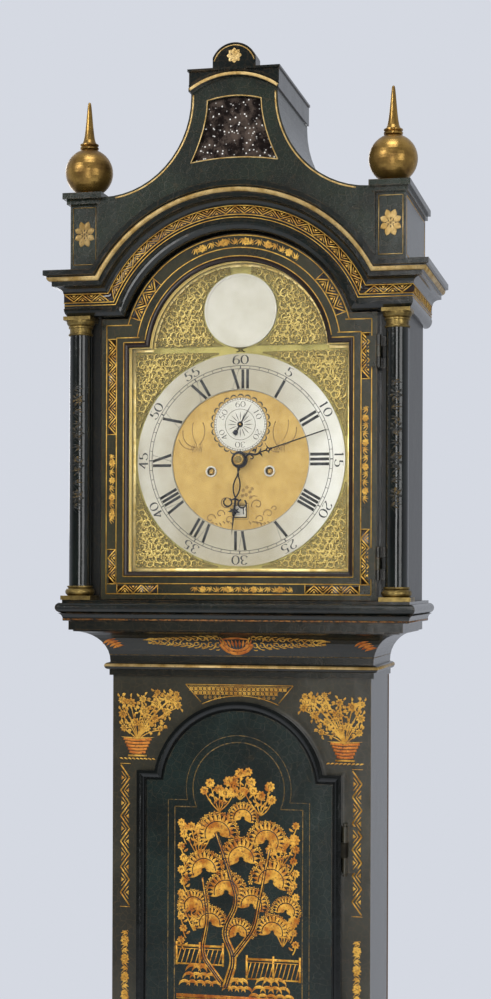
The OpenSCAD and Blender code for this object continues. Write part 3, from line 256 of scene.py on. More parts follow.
def strokes(name, lines, onto, rise, made, body, sink=0.15):
    """Raised strokes. Each is a line of (u, v) points with a half width at every point. Its section
    is a crown of five points whose height goes with the square root of the width, so that it
    thins out at its ends, and onto() lays it on the surface."""
    across = np.array([1, 0.6, 0, -0.6, -1])
    crown = np.array([0, 0.8, 1, 0.8, 0])
    points, faces, start = [], [], 0
    for count in sorted({len(line) for line, half in lines}):
        run = np.array([line for line, half in lines if len(line) == count])
        half = np.maximum(np.array([half for line, half in lines if len(line) == count]), 0.03)
        along = np.gradient(run, axis=1)
        along /= np.linalg.norm(along, axis=2, keepdims=True) + 1e-9
        left = np.stack([-along[..., 1], along[..., 0]], -1)
        grid = run[:, :, None] + left[:, :, None] * (half[..., None] * across)[..., None]
        lift = rise * np.sqrt(half / half.max())[..., None] * crown - sink * (crown == 0)
        laid = onto(grid[..., 0], grid[..., 1], lift)
        faces += [[start + i for i in face] for face in bars(laid)]
        points.append(laid.reshape(-1, 3))
        start += laid[..., 0].size
    return make(name, np.concatenate(points), faces, made, body)


def width(t, shape):
    """Half width along a stroke from 0 to 1: even, a leaf's sine, a tail's falling root, or a
    wedge that grows evenly from a point."""
    return {"even": np.ones_like(t), "leaf": np.sin(np.pi * np.clip(t, 0.02, 0.98)) ** 0.8,
            "tail": (1.02 - t) ** 0.7, "wedge": t + 0.01}[shape]


def bow(p, q, rise=0.0, half=1.0, shape="even", n=None):
    """A stroke from p to q that bows to its left by rise, as a parabola over the chord, with a half
    width that follows the shape."""
    n = n or (2 if rise == 0 and shape == "even" else 9)
    t = np.linspace(0, 1, n)
    p, q = np.array(p, float), np.array(q, float)
    chord = q - p
    left = np.array([-chord[1], chord[0]]) / max(np.hypot(*chord), 1e-9)
    line = p + chord * t[:, None] + left * (rise * 4 * t * (1 - t))[:, None]
    return line, half * width(t, shape)


def rule(points, half):
    """Straight strokes from each point to the next."""
    return [bow(p, q, 0, half) for p, q in zip(points, points[1:])]


def curl(c, r0, r1, a0, a1, half=1.0, shape="even", n=14):
    """A spiral stroke about c: its radius goes evenly from r0 to r1 and its angle from a0 to a1."""
    t = np.linspace(0, 1, n)
    a, r = np.radians(a0 + (a1 - a0) * t), r0 + (r1 - r0) * t
    return np.stack([c[0] + r * np.cos(a), c[1] + r * np.sin(a)], 1), half * width(t, shape)


def turned(lines, at=(0, 0), angle=0.0, size=1.0, flip=False):
    """The same strokes made larger by size, mirrored if flip is set, turned and moved to at."""
    a = math.radians(angle)
    spin = np.array([[math.cos(a), math.sin(a)], [-math.sin(a), math.cos(a)]]) * size
    mirror = np.array([-1 if flip else 1, 1])
    return [((line * mirror) @ spin + at, half * size) for line, half in lines]


def both(lines):
    """Strokes and their mirror image about the middle."""
    return lines + turned(lines, flip=True)


def arched(lines, centre, radius):
    """Bends strokes drawn along a straight band round an arch: u becomes the angle from its top."""
    return [(np.stack([(radius + line[:, 1]) * np.sin(line[:, 0] / radius),
                       centre + (radius + line[:, 1]) * np.cos(line[:, 0] / radius)], 1), half)
            for line, half in lines]


def zigzag(length, high, pitch, half):
    """A running zigzag between v = 0 and v = high, with a smaller chevron nested in each of its
    triangles and a filled wedge in the chevron's foot."""
    count = round(length / pitch)
    step = length / count
    lines = rule([(i * step, high * (i % 2)) for i in range(count + 1)], half)
    for i in range(1, count):
        x, base, tip = i * step, high * (1 - i % 2), high * (2 * (i % 2) - 1)
        lines += rule([(x - 0.5 * step, base + 0.1 * tip), (x, base + 0.62 * tip),
                       (x + 0.5 * step, base + 0.1 * tip)], half * 0.65)
        lines.append(bow((x, base + 0.42 * tip), (x, base + 0.08 * tip), 0, step * 0.22, "wedge", 3))
    return lines


def blossom(c, r, petals=6, turn=0.0, half=None):
    """An open flower: leaf-shaped petals round a small ring."""
    c, half = np.array(c, float), half or 0.36 * r
    lines = [curl(c, r * 0.16, r * 0.16, 0, 360, r * 0.09, n=9)]
    for a in np.radians(turn + 360 * np.arange(petals) / petals):
        d = np.array([math.cos(a), math.sin(a)])
        lines.append(bow(c + 0.26 * r * d, c + r * d, 0, half, "leaf", 7))
    return lines


def spray(length, high, step, blooms):
    """A running spray along u: a waving stem with a pair of leaves at each wave and open flowers."""
    count = max(2, round(length / step))
    t = np.linspace(0, 1, count * 5 + 1)
    stem = np.stack([t * length, high * (0.5 + 0.26 * np.sin(t * count * np.pi))], 1)
    lines = [(stem, 0.55 * np.ones_like(t))]
    for i in range(count):
        x, side = (i + 0.5) * length / count, 1 - 2 * (i % 2)
        mid = high * (0.5 + 0.26 * side)
        for lean, far in ((0.35, 0.44), (-0.4, 0.40), (0.05, 0.5)):
            tip = (x + lean * step, high * 0.5 + side * high * (0.26 - far) * 1.6)
            lines.append(bow((x, mid), tip, side * 1.2, high * 0.085, "leaf"))
        lines.append(curl((x + 0.3 * step, mid - side * high * 0.1), high * 0.16, high * 0.05, 90 * side,
                          -200 * side, 0.5, "tail", 9))
    for i in range(blooms):
        lines += blossom((length * (i + 0.5) / blooms, high * 0.5), high * 0.42, 7)
    return lines


def fan(r, petals, spread, half):
    """A shell: leaves that open from one point over an angle either side of upright."""
    lines = []
    for a in np.radians(90 + spread * np.linspace(-1, 1, petals)):
        d = np.array([math.cos(a), math.sin(a)])
        lines.append(bow(d * r * 0.18, d * r * (0.86 + 0.14 * math.sin(a)), 0, half, "leaf", 7))
    return lines


def panel(u0, v0, u1, v1, half=0.9):
    """A rectangle of four lines."""
    return rule([(u0, v0), (u1, v0), (u1, v1), (u0, v1), (u0, v0)], half)


base_y, case_y = -53.4, -6.0
leaves = [bow(p, q, rise, half, "leaf") for p, q, rise, half in (
    ((4, 4), (40, 6), 5, 3), ((4, 4), (6, 40), -5, 3), ((8, 8), (30, 30), 0, 4.5))]
corner = [curl((14, 14), 13, 3, 200, -160, 1.2, "tail", 18), *leaves, *blossom((34, 34), 9)]
base_lines = panel(-168, -1613, 168, -1333, 1.4) + panel(-146, -1591, 146, -1355, 0.8)
for sx, sz, turn in ((-138, -1583, 0), (138, -1583, 90), (138, -1363, 180), (-138, -1363, 270)):
    base_lines += turned(corner, (sx, sz), turn)
middle = fan(34, 11, 88, 3.2) + [curl((30, 6), 15, 3, 180, -170, 1.6, "tail", 18),
                                 bow((44, 2), (92, 12), -10, 4, "leaf", 12)]
base_lines += turned(both(middle + blossom((66, 20), 12, 7)), (0, -1480))
strokes("base_panel_gilding", base_lines, flat(base_y - 3.9), 0.3, case_gold, "case")
strokes("base_rules", panel(-212, -1674, 212, -1294), flat(base_y), 0.3, case_gold, "case")

# Trunk frame: a zigzag panel and a hanging spray down each side of the door, a generic flowering
# bush in each corner over its arch, and a diaper band between them.
red_gold = gilding("red_gilding", "#a9541d", "#d98a37", "#4f1d0c", 0.55)
strip = 156.5
frame_lines = []
for x in (-strip, strip):
    for top, bottom in ((-405, -592), (-832, -1012)):
        frame_lines += turned(zigzag(top - bottom, 12.5, 17, 1.15), (x + 6, bottom), 90)
        frame_lines += [bow((x - 7, z), (x + 7, z), 0, 0.6) for z in (bottom - 2, top + 2)]
    for top, bottom in ((-626, -800), (-1040, -1200)):
        frame_lines += turned(spray(top - bottom, 15, 8, 7), (x + 7.5, bottom), 90)


def frame_face(u, v, lift):
    """Onto the trunk's frame, and over the two hinge leaves that stand 1.4 mm proud of it."""
    leaf = (u > 141) & (np.minimum(np.abs(v + 507), np.abs(v + 1063)) < 31)
    return np.stack([u, case_y - lift - 1.4 * leaf, v], -1)


bush, bowl = [], []
pick = np.random.default_rng(5)
for x, z, r in ((10, 66, 8.5), (-10, 78, 8), (28, 78, 8.5), (46, 86, 8), (-22, 62, 7), (-4, 50, 7.5),
                (26, 56, 7), (44, 66, 7), (8, 84, 6), (60, 76, 6.5), (-24, 82, 5.5), (14, 42, 6),
                (-20, 42, 6), (58, 92, 5), (34, 42, 5), (30, 94, 5)):
    bush += [bow((0, 24), (x, z - r * 0.5), 0.1 * x, 0.9, n=9)] + blossom((x, z), r, 8, 9 * x, 0.3 * r)
    for k in range(9):
        way = 2 * np.pi * pick.random()
        out = np.array([math.cos(way), math.sin(way)])
        tip = (x, z) + (r + 6) * out
        if -30 < tip[0] < 68 and tip[1] < 100:
            bush.append(bow((x, z) + r * out, tip, 1.2, 1.8, "leaf", 7))
for row in range(5):
    wide, z = 21 - 2.2 * row, 26 - 4.6 * row
    bowl.append(bow((-wide, z), (wide, z), -1.5, 2.1, "even", 12))
bush += [bow((-25, 29), (25, 29), -1.5, 1.6, "leaf", 12), bow((-14, 2), (14, 2), 0, 1.6),
         *[bow((-27 + 6 * k, -2), (-21 + 6 * k, -4), 0.8, 1.3, "leaf") for k in range(9)]]
for x, name in ((-140, "corner_bowl_left"), (140, "corner_bowl_right")):
    frame_lines += turned(bush, (x, -394), 0, 0.92, x > 0)
    strokes(name, turned(bowl, (x, -394), 0, 0.92, x > 0), flat(case_y), 0.3, red_gold, "case")
band = [bow((-74, -296), (71, -296), 0, 0.7), bow((-74, -296), (-53, -319), 0, 0.7),
        bow((71, -296), (52, -319), 0, 0.7), bow((-69, -298), (66, -298), 0, 0.4),
        *arched([bow((-53, 0), (53, 0), 0, 0.7, n=20)], -432.3, 122)]
for row, z in enumerate((-301.5, -307.0)):
    for x in range(-66 + 6 * row, 66 - 12 * row, 6):
        band += [curl((x, z), 1.9, 1.9, 0, 360, 0.65, n=9),
                 *[bow((x - 3, z - dz), (x + 3, z + dz), 0, 0.5) for dz in (2.7, -2.7)]]
for s in (-1, 1):
    for k in range(4):
        band += blossom((s * (46 - 6.5 * k) - 1, -312.6), 2.6, half=0.6)
strokes("trunk_frame_gilding", frame_lines + band, frame_face, 0.35, case_gold, "case")

# Mouldings of the carcase: gilt lines laid along the base moulding and the throat's astragal.
# Each is a short section carried round the left side, the front and the right side.


def carried(name, section, path, made, body):
    """A closed section of (out, up) points, in order, carried along path(out, up)."""
    laid = np.swapaxes(path(*np.array(section, float).T), 0, 1)[None]
    return make(name, laid.reshape(-1, 3), bars(laid), made, body)


def round_case(half, front, foot, back=142.0):
    """The path of a mitred moulding: from the back along the left side, the front and the right."""
    def path(out, up):
        side, y, z = half + out, front - out, foot + up
        rear = np.full_like(out, back)
        return np.stack([np.stack([-side, rear, z], -1), np.stack([-side, y, z], -1),
                         np.stack([side, y, z], -1), np.stack([side, rear, z], -1)], 1)
    return path


def rib(outline, thick=0.25):
    """A thin closed section that follows outline, thick outwards of it and 0.3 mm let into it."""
    return [(p + thick, h) for p, h in outline] + [(p - 0.3, h) for p, h in reversed(outline)]


def quarter(cx, cy, rx, ry, a0, a1, n=7):
    """Points on a quarter of an ellipse, of which mouldings are made."""
    a = np.radians(np.linspace(a0, a1, n))
    return list(zip((cx + rx * np.cos(a)).tolist(), (cy + ry * np.sin(a)).tolist()))


throat_foot = -285
cove_out, cove_up, cove_wide, cove_high = 42.5, 19, 39.3, 40
throat = round_case(174, case_y, throat_foot)
pale_gold = gilding("moulding_gilding", "#ad8a4a", "#d6b87c", "#4c2c18", 0.6)
faded_gold = gilding("faded_gilding", "#5f4a25", "#8d6f3a", "#1d1a13", 0.47)
rubbed_red = gilding("rubbed_red_gilding", "#854c22", "#b07c40", "#120d0a", 0.46)
cove_line = rib(quarter(cove_out, cove_up, cove_wide, cove_high, 169, 167.6, 3), 0.15)
carried("astragal_gilding", rib(quarter(5, 12.3, 4.6, 4.6, -8, 42)), throat, pale_gold, "case")
carried("throat_line", cove_line, throat, faded_gold, "case")
hood_seat = round_case(221, -46, -212.1)
carried("hood_seat_line", rib([(8.2, 1.0), (8.2, 3.0)], 0.2), hood_seat, rubbed_red, "hood")
carried("base_moulding_line", rib([(51, 0.8), (51, 4.2)]), round_case(174, case_y, -1283), case_gold, "case")
skirting_top = round_case(221.4, base_y, -1763)
carried("skirting_line", rib([(11.1, 62.6), (11.0, 65.6)]), skirting_top, case_gold, "case")


def cove(u, v, lift):
    """Onto the throat's cove: v is the angle along its quarter ellipse, in millimetres of arc."""
    a = np.radians(180 - v / 62 * 90)
    out, up = cove_out + cove_wide * np.cos(a), cove_up + cove_high * np.sin(a)
    deep = np.hypot(cove_out - out, cove_up - up)
    out, up = out + lift * (cove_out - out) / deep, up + lift * (cove_up - up) / deep
    return np.stack([u + 0 * out, case_y - out, throat_foot + up], -1)


scroll = []
pick = np.random.default_rng(8)
for k in range(10):
    x, high = 25 + 9.6 * k, 13.0 - 1.05 * k
    for s in (-1, 1):
        r, a = 0.26 * high + 1.6, 360 * pick.random()
        scroll += [curl((x, s * high * 0.5), r, 0.7, a, a + s * 400, 1.15, "tail", 16),
                   bow((x + 2, s * high * 0.15), (x + 9, s * high * 0.95), 2 * s, 1.5, "leaf", 7),
                   bow((x - 3, s * high * 0.9), (x + 4, s * (high * 0.9 + 1.2)), s, 1.1, "leaf", 6),
                   bow((x + 4.5, s * high * 0.5), (x + 8, s * high * 0.3), s, 1.2, "leaf", 6)]
scroll += [bow((112, 0), (127, 1.5), 1.5, 1.6, "leaf"), bow((106, 3), (119, 4), 1.5, 1.2, "leaf"),
           bow((20, -9), (20, 9), 3, 1.2)]
strokes("throat_scrolls", turned(both(scroll), (-3, 29.5)), cove, 0.3, case_gold, "case")
shell = [curl((0, 11), 19.5, 19.5, 190, 350, 2.4, n=16), curl((0, 12), 15.5, 15.5, 200, 340, 2.2),
         bow((-20, 16), (20, 16), 4, 2.6, "leaf"),
         *[bow((3.6 * k, 1 + 0.1 * k * k), (4.9 * k, 16), 0, 1.9, "leaf", 6) for k in range(-4, 5)]]
shell = [(line * (1, 0.8), half) for line, half in shell]
for x in (-166, 142):
    shell += [bow((x + 4 * k, 4 - 2 * k), (x + 18 + 3 * k, 13 - 3.4 * k), 1.5, 2.5, "leaf")
              for k in range(4)]
strokes("throat_shell", turned(shell, (-3, 19), 0, 1.1), cove, 0.4, red_gold, "case")


# Bare wood: unvarnished oak, dark with age, for the backboard, the seatboard that carries the
# movement, and the hood's roof. Its growth rings are bands 7 mm apart that waver along the grain,
# and its pores are 1.6 mm wide.
oak, tree, spot = finish("old_oak")
plank = add(tree, "Mapping", {"Vector": spot, "Scale": (1.0, 1.0, 0.06)})
rings = add(tree, "TexWave", {"Vector": plank, "Scale": 1000 / 7 / 6.3, "Distortion": 5.0, "Detail": 3.0,
                              "Detail Scale": 1.2}, bands_direction="X").outputs["Fac"]
pores = add(tree, "TexNoise", {"Vector": plank, "Scale": 1000 / 1.6, "Detail": 3.0, "Roughness": 0.75})
tone = add(tree, "Mix", {"Factor": rings, "A": "#4a3420", "B": "#6b4d2f"}, data_type="RGBA")
dark = add(tree, "MapRange", {"Value": pores, "From Min": 0.55, "From Max": 0.7, "To Max": 0.6})
tone = add(tree, "Mix", {"Factor": dark, "A": tone, "B": "#24180e"}, data_type="RGBA")
low = add(tree, "Bump", {"Height": pores, "Distance": 0.0002})
surface(tree, {"Base Color": tone, "Roughness": 0.72, "Normal": low})
dress(oak, "backboard", "seatboard", "hood_roof")


# Brass of the case: cast hinges, escutcheons, column bases and capitals, lacquered long ago. The
# hinges are painted over with the wood that they are screwed to.

def metal(name, clean, dull, polish, spots, whole=0.9):
    """Worked metal. Its tarnish lies in clouds of that size in millimetres, and fine scratches
    0.8 mm apart break its polish."""
    made, tree, spot = finish(name)
    cloud = patches(tree, spot, spots, 5.0, 0.65, 0.36, 0.68)
    tone = add(tree, "Mix", {"Factor": cloud, "A": clean, "B": dull}, data_type="RGBA")
    dim = add(tree, "MapRange", {"Value": cloud, "To Min": polish, "To Max": polish + 0.18})
    surface(tree, {"Base Color": tone, "Metallic": whole, "Roughness": dim,
                   "Normal": fine_grain(tree, spot, 0.8, 0.00005)})
    return made


case_brass = metal("old_case_brass", "#96804a", "#4f4127", 0.3, 12)
dress(case_brass, "column_mounts")
dress(metal("blackened_brass", "#2b2820", "#171613", 0.4, 12), "trunk_door_hardware")
dress(green_japan, "trunk_frame_hinges")
dress(black_japan, "hood_frame_hinges")

# Trunk door: an oak panel with a break-arch top inside a mitred moulding, japanned blue-green, with
# a double gilt line that follows the arch and a generic garden of stems, flowers and rocks.
dress(japan("blue_green_japan", "#0c1613", "#182622", "#4a3d28"), "trunk_door_panel")
dress(japan("door_moulding_japan", "#050706", "#0c100e", "#15120e", 0.08), "trunk_door_moulding")
door_gold = gilding("door_gilding", "#b3691c", "#efb74a", "#6d3412", 0.54)
panel_y = -14


def break_arch(x, foot, shoulder, edge, half):
    """The straight lines of a break-arch outline: foot, sides and the short steps to the arch."""
    corners = [(-edge, shoulder), (-x, shoulder), (-x, foot), (x, foot), (x, shoulder), (edge, shoulder)]
    return rule(corners, half)


door_lines = []
for inset, half in ((8, 0.6), (17, 0.85)):
    r, centre, shoulder = 78.5 - inset, -432.3, -440 - inset
    a = math.asin((shoulder - centre) / r)
    door_lines += break_arch(103 - inset, -1144 + inset, shoulder, r * math.cos(a), half)
    door_lines.append(curl((0, centre), r, r, math.degrees(a), 180 - math.degrees(a), half, n=40))
strokes("trunk_door_lines", door_lines, flat(panel_y), 0.25, faded_gold, "trunk_door")


def clump(x, z, r, tilt, petals=15, spread=105):
    """A leafy clump: two shells of broad leaves, one in the other, and a row of short ones at its rim."""
    rim = []
    for k, a in enumerate(np.radians(90 + spread * np.linspace(-1, 1, petals + 2))):
        rim += blossom((r * 0.98 * math.cos(a), r * 0.98 * math.sin(a)), r * 0.13, 5, 20 * k)
    shells = fan(r, petals, spread, r * 0.12) + fan(r * 0.6, petals - 4, spread, r * 0.1)
    return turned(shells + rim, (x, z), tilt)


def clump_veins(x, z, r, tilt, petals=15, spread=105):
    """Dark lines between the leaves of a clump, and an arc that parts its two shells."""
    lines = [curl((0, 0), r * 0.6, r * 0.6, 90 - spread, 90 + spread, 0.5, n=24)]
    for k in range(petals - 1):
        a = math.radians(90 + spread * (2 * (k + 0.5) / (petals - 1) - 1))
        d = np.array([math.cos(a), math.sin(a)])
        lines.append(bow(d * r * 0.64, d * r * 0.93, 0, 0.45, "leaf", 5))
    return turned(lines, (x, z), tilt)


def trunk(points, half):
    """A winding trunk through points, as one stroke that thins out towards its top."""
    t = np.linspace(0, len(points) - 1, 6 * len(points))
    at = np.array(points, float)
    line = np.stack([np.interp(t, np.arange(len(at)), at[:, i]) for i in (0, 1)], 1)
    line[2:-2] = (line[:-4] + line[1:-3] + line[2:-2] + line[3:-1] + line[4:]) / 5
    return line, np.linspace(half, half * 0.35, len(t))


def flowers(x, z, spread, high, count, seed):
    """A flowering top: stalks that open from (x, z) with rosettes of eight petals at their ends."""
    pick = np.random.default_rng(seed)
    lines, foot = [], np.array([x, z])
    for k in range(count):
        a = math.radians(90 + spread * (2 * (k + 0.5) / count - 1))
        far = high * (0.55 + 0.45 * pick.random())
        tip = foot + (far * math.cos(a), far * math.sin(a))
        lines.append(bow(foot, tip, (k - count / 2) * 1.2, 0.9))
        lines += blossom(tip, 6.0 + 2.0 * pick.random(), 8, 30 * k)
        for j in range(4):
            at = foot + (tip - foot) * (0.35 + 0.17 * j)
            lines.append(bow(at, at + (5.0 * (-1) ** j, 4.5), 1, 1.6, "leaf", 6))
    return lines


def mound(x, z, wide, rows):
    """A rocky bank: rows of overlapping broad arcs, each row wider than the one over it."""
    lines = []
    for row in range(rows):
        count = 3 + row
        for k in range(count):
            cx = x + wide * (0.4 + 0.6 * row / rows) * ((k + 0.5) / count - 0.5)
            lines.append(curl((cx, z - 9 * row), wide * 0.42 / count + 3, wide * 0.3 / count + 2, 172, 8,
                              2.6, "leaf", 12))
    return lines


def fence(x0, x1, z, high, step=6.0):
    """A garden fence: two rails and slanting bars between posts."""
    count = max(1, round((x1 - x0) / step))
    lines = [bow((x0, z + up), (x1, z + up), 0, half)
             for up, half in ((0, 1.3), (high, 1.8), (high - 4, 0.6))]
    for x in np.linspace(x0, x1, count + 1):
        lines.append(bow((x, z), (min(x + step, x1), z + high - 4), 0, 0.8))
    return lines + [bow((x, z - 2), (x, z + high + 5), 0, 1.7) for x in (x0, (x0 + x1) / 2, x1)]


garden, veins, walls = [], [], []
for top in ((-26, -462, 46, 42, 5, 1), (2, -446, 42, 42, 5, 2), (30, -466, 44, 44, 5, 3),
            (-54, -522, 34, 44, 5, 4), (56, -534, 34, 46, 5, 5), (-60, -620, 30, 40, 4, 14),
            (60, -636, 30, 40, 4, 15), (-48, -868, 50, 50, 7, 6), (20, -856, 50, 56, 8, 7),
            (56, -905, 36, 46, 6, 8), (-20, -975, 50, 46, 6, 9), (54, -1034, 36, 46, 6, 10)):
    garden += flowers(*top)
for crown in ((-28, -492, 28, 8), (6, -470, 20, -4), (38, -500, 26, -10), (4, -524, 28, 6),
              (-46, -540, 26, 14), (44, -552, 28, -12), (-16, -568, 27, 0), (64, -590, 19, -14),
              (18, -584, 23, -8), (-60, -588, 21, 10), (-38, -610, 23, 6), (46, -618, 23, -6),
              (0, -622, 20, 4), (-40, -904, 30, 6), (24, -908, 32, -6), (-4, -965, 27, 0),
              (58, -965, 22, -8), (-58, -972, 22, 8), (38, -1046, 28, -6), (-36, -1052, 26, 6)):
    garden += clump(*crown)
    veins += clump_veins(*crown)
for s in (-1, 1):
    for k in range(11):
        at = np.array([s * (77 - 3 * (k % 2)), -478 - 15.5 * k])
        garden += [*blossom(at, 5.6, 8, 40 * k, 1.9), bow(at, at + (-s * 4, -13), 1.2 * s, 1.0),
                   bow(at + (-3 * s, -7), at + (-9 * s, -3), s, 1.9, "leaf", 6)]
for points, half in (
        ([(-16, -694), (-4, -655), (-20, -620), (0, -580), (-14, -535), (-30, -490)], 6.5),
        ([(-6, -652), (22, -615), (30, -570), (42, -510)], 5.0),
        ([(-22, -687), (-50, -650), (-40, -600), (-48, -550)], 5.0),
        ([(-10, -1090), (8, -1040), (-12, -990), (14, -940), (24, -900)], 5.5),
        ([(-30, -1080), (-52, -1030), (-36, -980), (-40, -905)], 4.5)):
    line, half = trunk(points, half)
    garden.append((line, half))
    veins += [(line + (dx, 0), half * 0.12 + 0.2) for dx in (-1.8, 1.2)]
for rails in ((-83, -20, -664, 24), (12, 83, -680, 26), (-80, 80, -1118, 26), (-20, 60, -850, 20)):
    garden += fence(*rails)
for k in range(16):
    z, left, right = -706 - 7.2 * k, -83 + 2.2 * k, 83 - 1.4 * k
    walls.append(bow((left, z), (right, z), 0, 2.6))
    garden.append(bow((left, z - 3.6), (right, z - 3.6), 0, 0.9))
    garden += [bow((x, z + 2.2), (x, z - 2.6), 0, 0.6) for x in np.arange(left + 8 + 8 * (k % 2), right, 16)]
for bank in ((-50, -676, 66, 3), (46, -690, 72, 3), (0, -690, 50, 2), (0, -1078, 150, 4),
             (-36, -1000, 60, 3), (40, -990, 64, 3)):
    garden += mound(*bank)
strokes("trunk_door_gilding", garden, flat(panel_y), 0.4, door_gold, "trunk_door")
strokes("trunk_door_terrace", walls, flat(panel_y), 0.25, red_gold, "trunk_door")
veins = [(line, half * 1.5) for line, half in veins]
strokes("trunk_door_veins", veins, flat(panel_y - 0.36), 0.12, red_lacquer, "trunk_door", 0.1)


# Hood: base frame with its torus, side boards, mask board and cornice, japanned black like the case.
# It slides off forwards, so every piece of it rides on the hood.
hood_japan = japan("hood_japan", "#090e0c", "#141b17", "#4f3d27", 0.14)
dress(hood_japan, "hood_base_frame", "hood_front_boards", "hood_cornice")
dress(japan("scuffed_side_japan", "#080b09", "#161a14", "#4f3d27", 0.42), "hood_sides")
hood_gold = gilding("hood_gilding", "#bd8a38", "#e6b956", "#6b3a18", 0.58)

# Cornice: its section breaks upwards in an arch over the dial. A zigzag runs along the frieze on
# red-brown lacquer, and the ovolo over it is gilt, all round the arch and back along the sides.
arch_z, cornice_foot, arch_foot, frieze_mid = 138.5, 188.5, 158.5, 24.7


def cornice(out, up):
    """The cornice's path for points of its section. Straight parts stand up over the foot, and the
    arch has the section's height as its radius, so each height has its own knee where they meet."""
    z, half, y, r = cornice_foot + up, 221 + out, -35 - out, (arch_foot + up)[:, None]
    a = np.arccos((z[:, None] - arch_z) / r) * np.linspace(-1, 1, 61)
    arc = np.stack([r * np.sin(a), y[:, None] + 0 * a, arch_z + r * np.cos(a)], -1)
    rear = np.full_like(out, 153.0)
    left = np.stack([np.stack([-half, rear, z], -1), np.stack([-half, y, z], -1)], 1)
    right = np.stack([np.stack([half, y, z], -1), np.stack([half, rear, z], -1)], 1)
    return np.concatenate([left, arc, right], 1)


def side_face(x):
    """Onto an upright face at x that looks away from the middle: u runs to the back and v up."""
    return lambda u, v, lift: np.stack([x + math.copysign(1, x) * lift, u, v], -1)


def frieze_run(length, at):
    """The frieze's zigzag, 9 mm high, from a point on."""
    return turned(zigzag(length, 9, 12.5, 0.85), at)


frieze_lacquer = rib([(10.6, 18.8), (10.6, 30.4)], 0.15)
carried("cornice_frieze_lacquer", frieze_lacquer, cornice, red_lacquer, "hood")
carried("cornice_gilt_ovolo", rib(quarter(24, 50.6, 5, 5.6, -72, 0), 0.3), cornice, pale_gold, "hood")
for name, out, low, high in (("frieze_line_low", 10.6, 18.2, 19.3), ("frieze_line_high", 10.6, 29.6, 30.6),
                             ("cornice_line_low", 10.2, 14.6, 15.6)):
    carried(name, rib([(out, low), (out, high)], 0.4), cornice, hood_gold, "hood")
frieze_r = arch_foot + frieze_mid
knee = frieze_r * math.acos((cornice_foot + frieze_mid - arch_z) / frieze_r)
frieze = arched(frieze_run(2 * knee, (-knee, -4.5)), arch_z, frieze_r) + both(frieze_run(60, (170, 208.5)))
strokes("frieze_zigzag", frieze, flat(-45.85), 0.35, hood_gold, "hood")
for x, name in ((-231.85, "frieze_zigzag_left"), (231.85, "frieze_zigzag_right")):
    strokes(name, frieze_run(190, (-40, 208.5)), side_face(x), 0.35, hood_gold, "hood")

# Pedestals, finials and pediment: hollow boxes over the corners of the cornice carry turned and
# gilt balls with spires, and between them the front sweeps in to a neck that frames a mirror. Of
# the gilding's two pieces the second holds the left pedestal's strokes again.
dress(japan("pediment_japan", "#111811", "#1e281c", "#4f3d27", 0.2), "pediment_case", "side_pedestals")
flower = blossom((0, 0), 18, 8, 22, 8.2) + blossom((0, 0), 7.5)
flower = [(line * (0.8, 1), half * 0.62) for line, half in flower]
pedestal_lines = []
for x in (-203.2, 203.2):
    pedestal_lines += panel(x - 15.5, 257, x + 15.5, 332, 0.7) + turned(flower, (x, 297))
    strokes("pedestal_gilding", pedestal_lines, flat(-47), 0.35, pale_gold, "hood")
for x, name in ((-222.5, "pedestal_gilding_left"), (222.5, "pedestal_gilding_right")):
    strokes(name, panel(-39, 257, 142, 332, 0.7), side_face(x), 0.3, hood_gold, "hood")
dress(metal("finial_bronze_paint", "#b28e4b", "#6b5029", 0.24, 25, 0.85), "finials")


def neck(inset, z_top):
    """Points up the pediment's right side: a quarter ellipse from the pedestal's cap to the neck,
    moved in by inset."""
    a = np.radians(np.linspace(262, 180, 40))
    x, z = 176.3 + (119 + inset) * np.cos(a), 468 + (124 + inset) * np.sin(a)
    return np.stack([np.append(x, 57.3 - inset), np.append(z, z_top)], 1)


pediment_y = -53
side = neck(3.0, 471)
pediment_lines = both([(side, np.full(len(side), 1.2))])
strokes("pediment_gilding", pediment_lines, flat(pediment_y), 0.4, pale_gold, "hood")

# Mirror: an old plate, silvered with tin and quicksilver and foxed. It is let into the pediment's
# front, with a thin gilt bead round it. Its dark brown ground is a painted reflection of a dim
# room; its paler clouds and white flecks are foxing.


def mirror_edge(g):
    """The mirror's outline, grown by g: sides that narrow upwards on a power of the height, and a
    bowed head and foot."""
    t = np.linspace(0, 1, 14)
    x, z = 34.5 + 22 * (1 - t) ** 1.8 + g, 384 - g + (77.5 + 2 * g) * t
    u = np.linspace(1, -1, 15)[1:-1]
    head = np.stack([u * (34.5 + g), 461.5 + g + 5 * (1 - u * u)], 1)
    foot = np.stack([-u * (56.5 + g), 384 - g + 5 * (1 - u * u)], 1)
    edge = np.concatenate([np.stack([x, z], 1), head, np.stack([-x, z], 1)[::-1], foot])
    return np.concatenate([edge, edge[:1]])


bead = mirror_edge(1.2)
strokes("mirror_bead", [(bead, np.full(len(bead), 0.9))], flat(pediment_y), 0.8, pale_gold, "hood")
foxed, tree, spot = finish("foxed_mirror")
bloom = add(tree, "TexNoise", {"Vector": spot, "Scale": 1000 / 26, "Detail": 6.0, "Roughness": 0.75})
cells = add(tree, "TexVoronoi", {"Vector": spot, "Scale": 1000 / 5})
fleck = add(tree, "MapRange", {"Value": cells, "From Min": 0.26, "From Max": 0.14})
haze = add(tree, "MapRange", {"Value": bloom, "From Min": 0.44, "From Max": 0.66})
patch = add(tree, "MapRange", {"Value": bloom, "From Min": 0.4, "From Max": 0.5})
dots = add(tree, "Math", {0: fleck, 1: patch}, operation="MULTIPLY")
# painted reflection: the dark brown ground stands in for the dim room that the plate reflects
tone = add(tree, "Mix", {"Factor": haze, "A": "#2a2220", "B": "#55483f"}, data_type="RGBA")
tone = add(tree, "Mix", {"Factor": dots, "A": tone, "B": "#e9e6e0"}, data_type="RGBA")
whole = add(tree, "MapRange", {"Value": dots, "To Min": 0.75, "To Max": 0.0})
dim = add(tree, "MapRange", {"Value": haze, "To Min": 0.18, "To Max": 0.5})
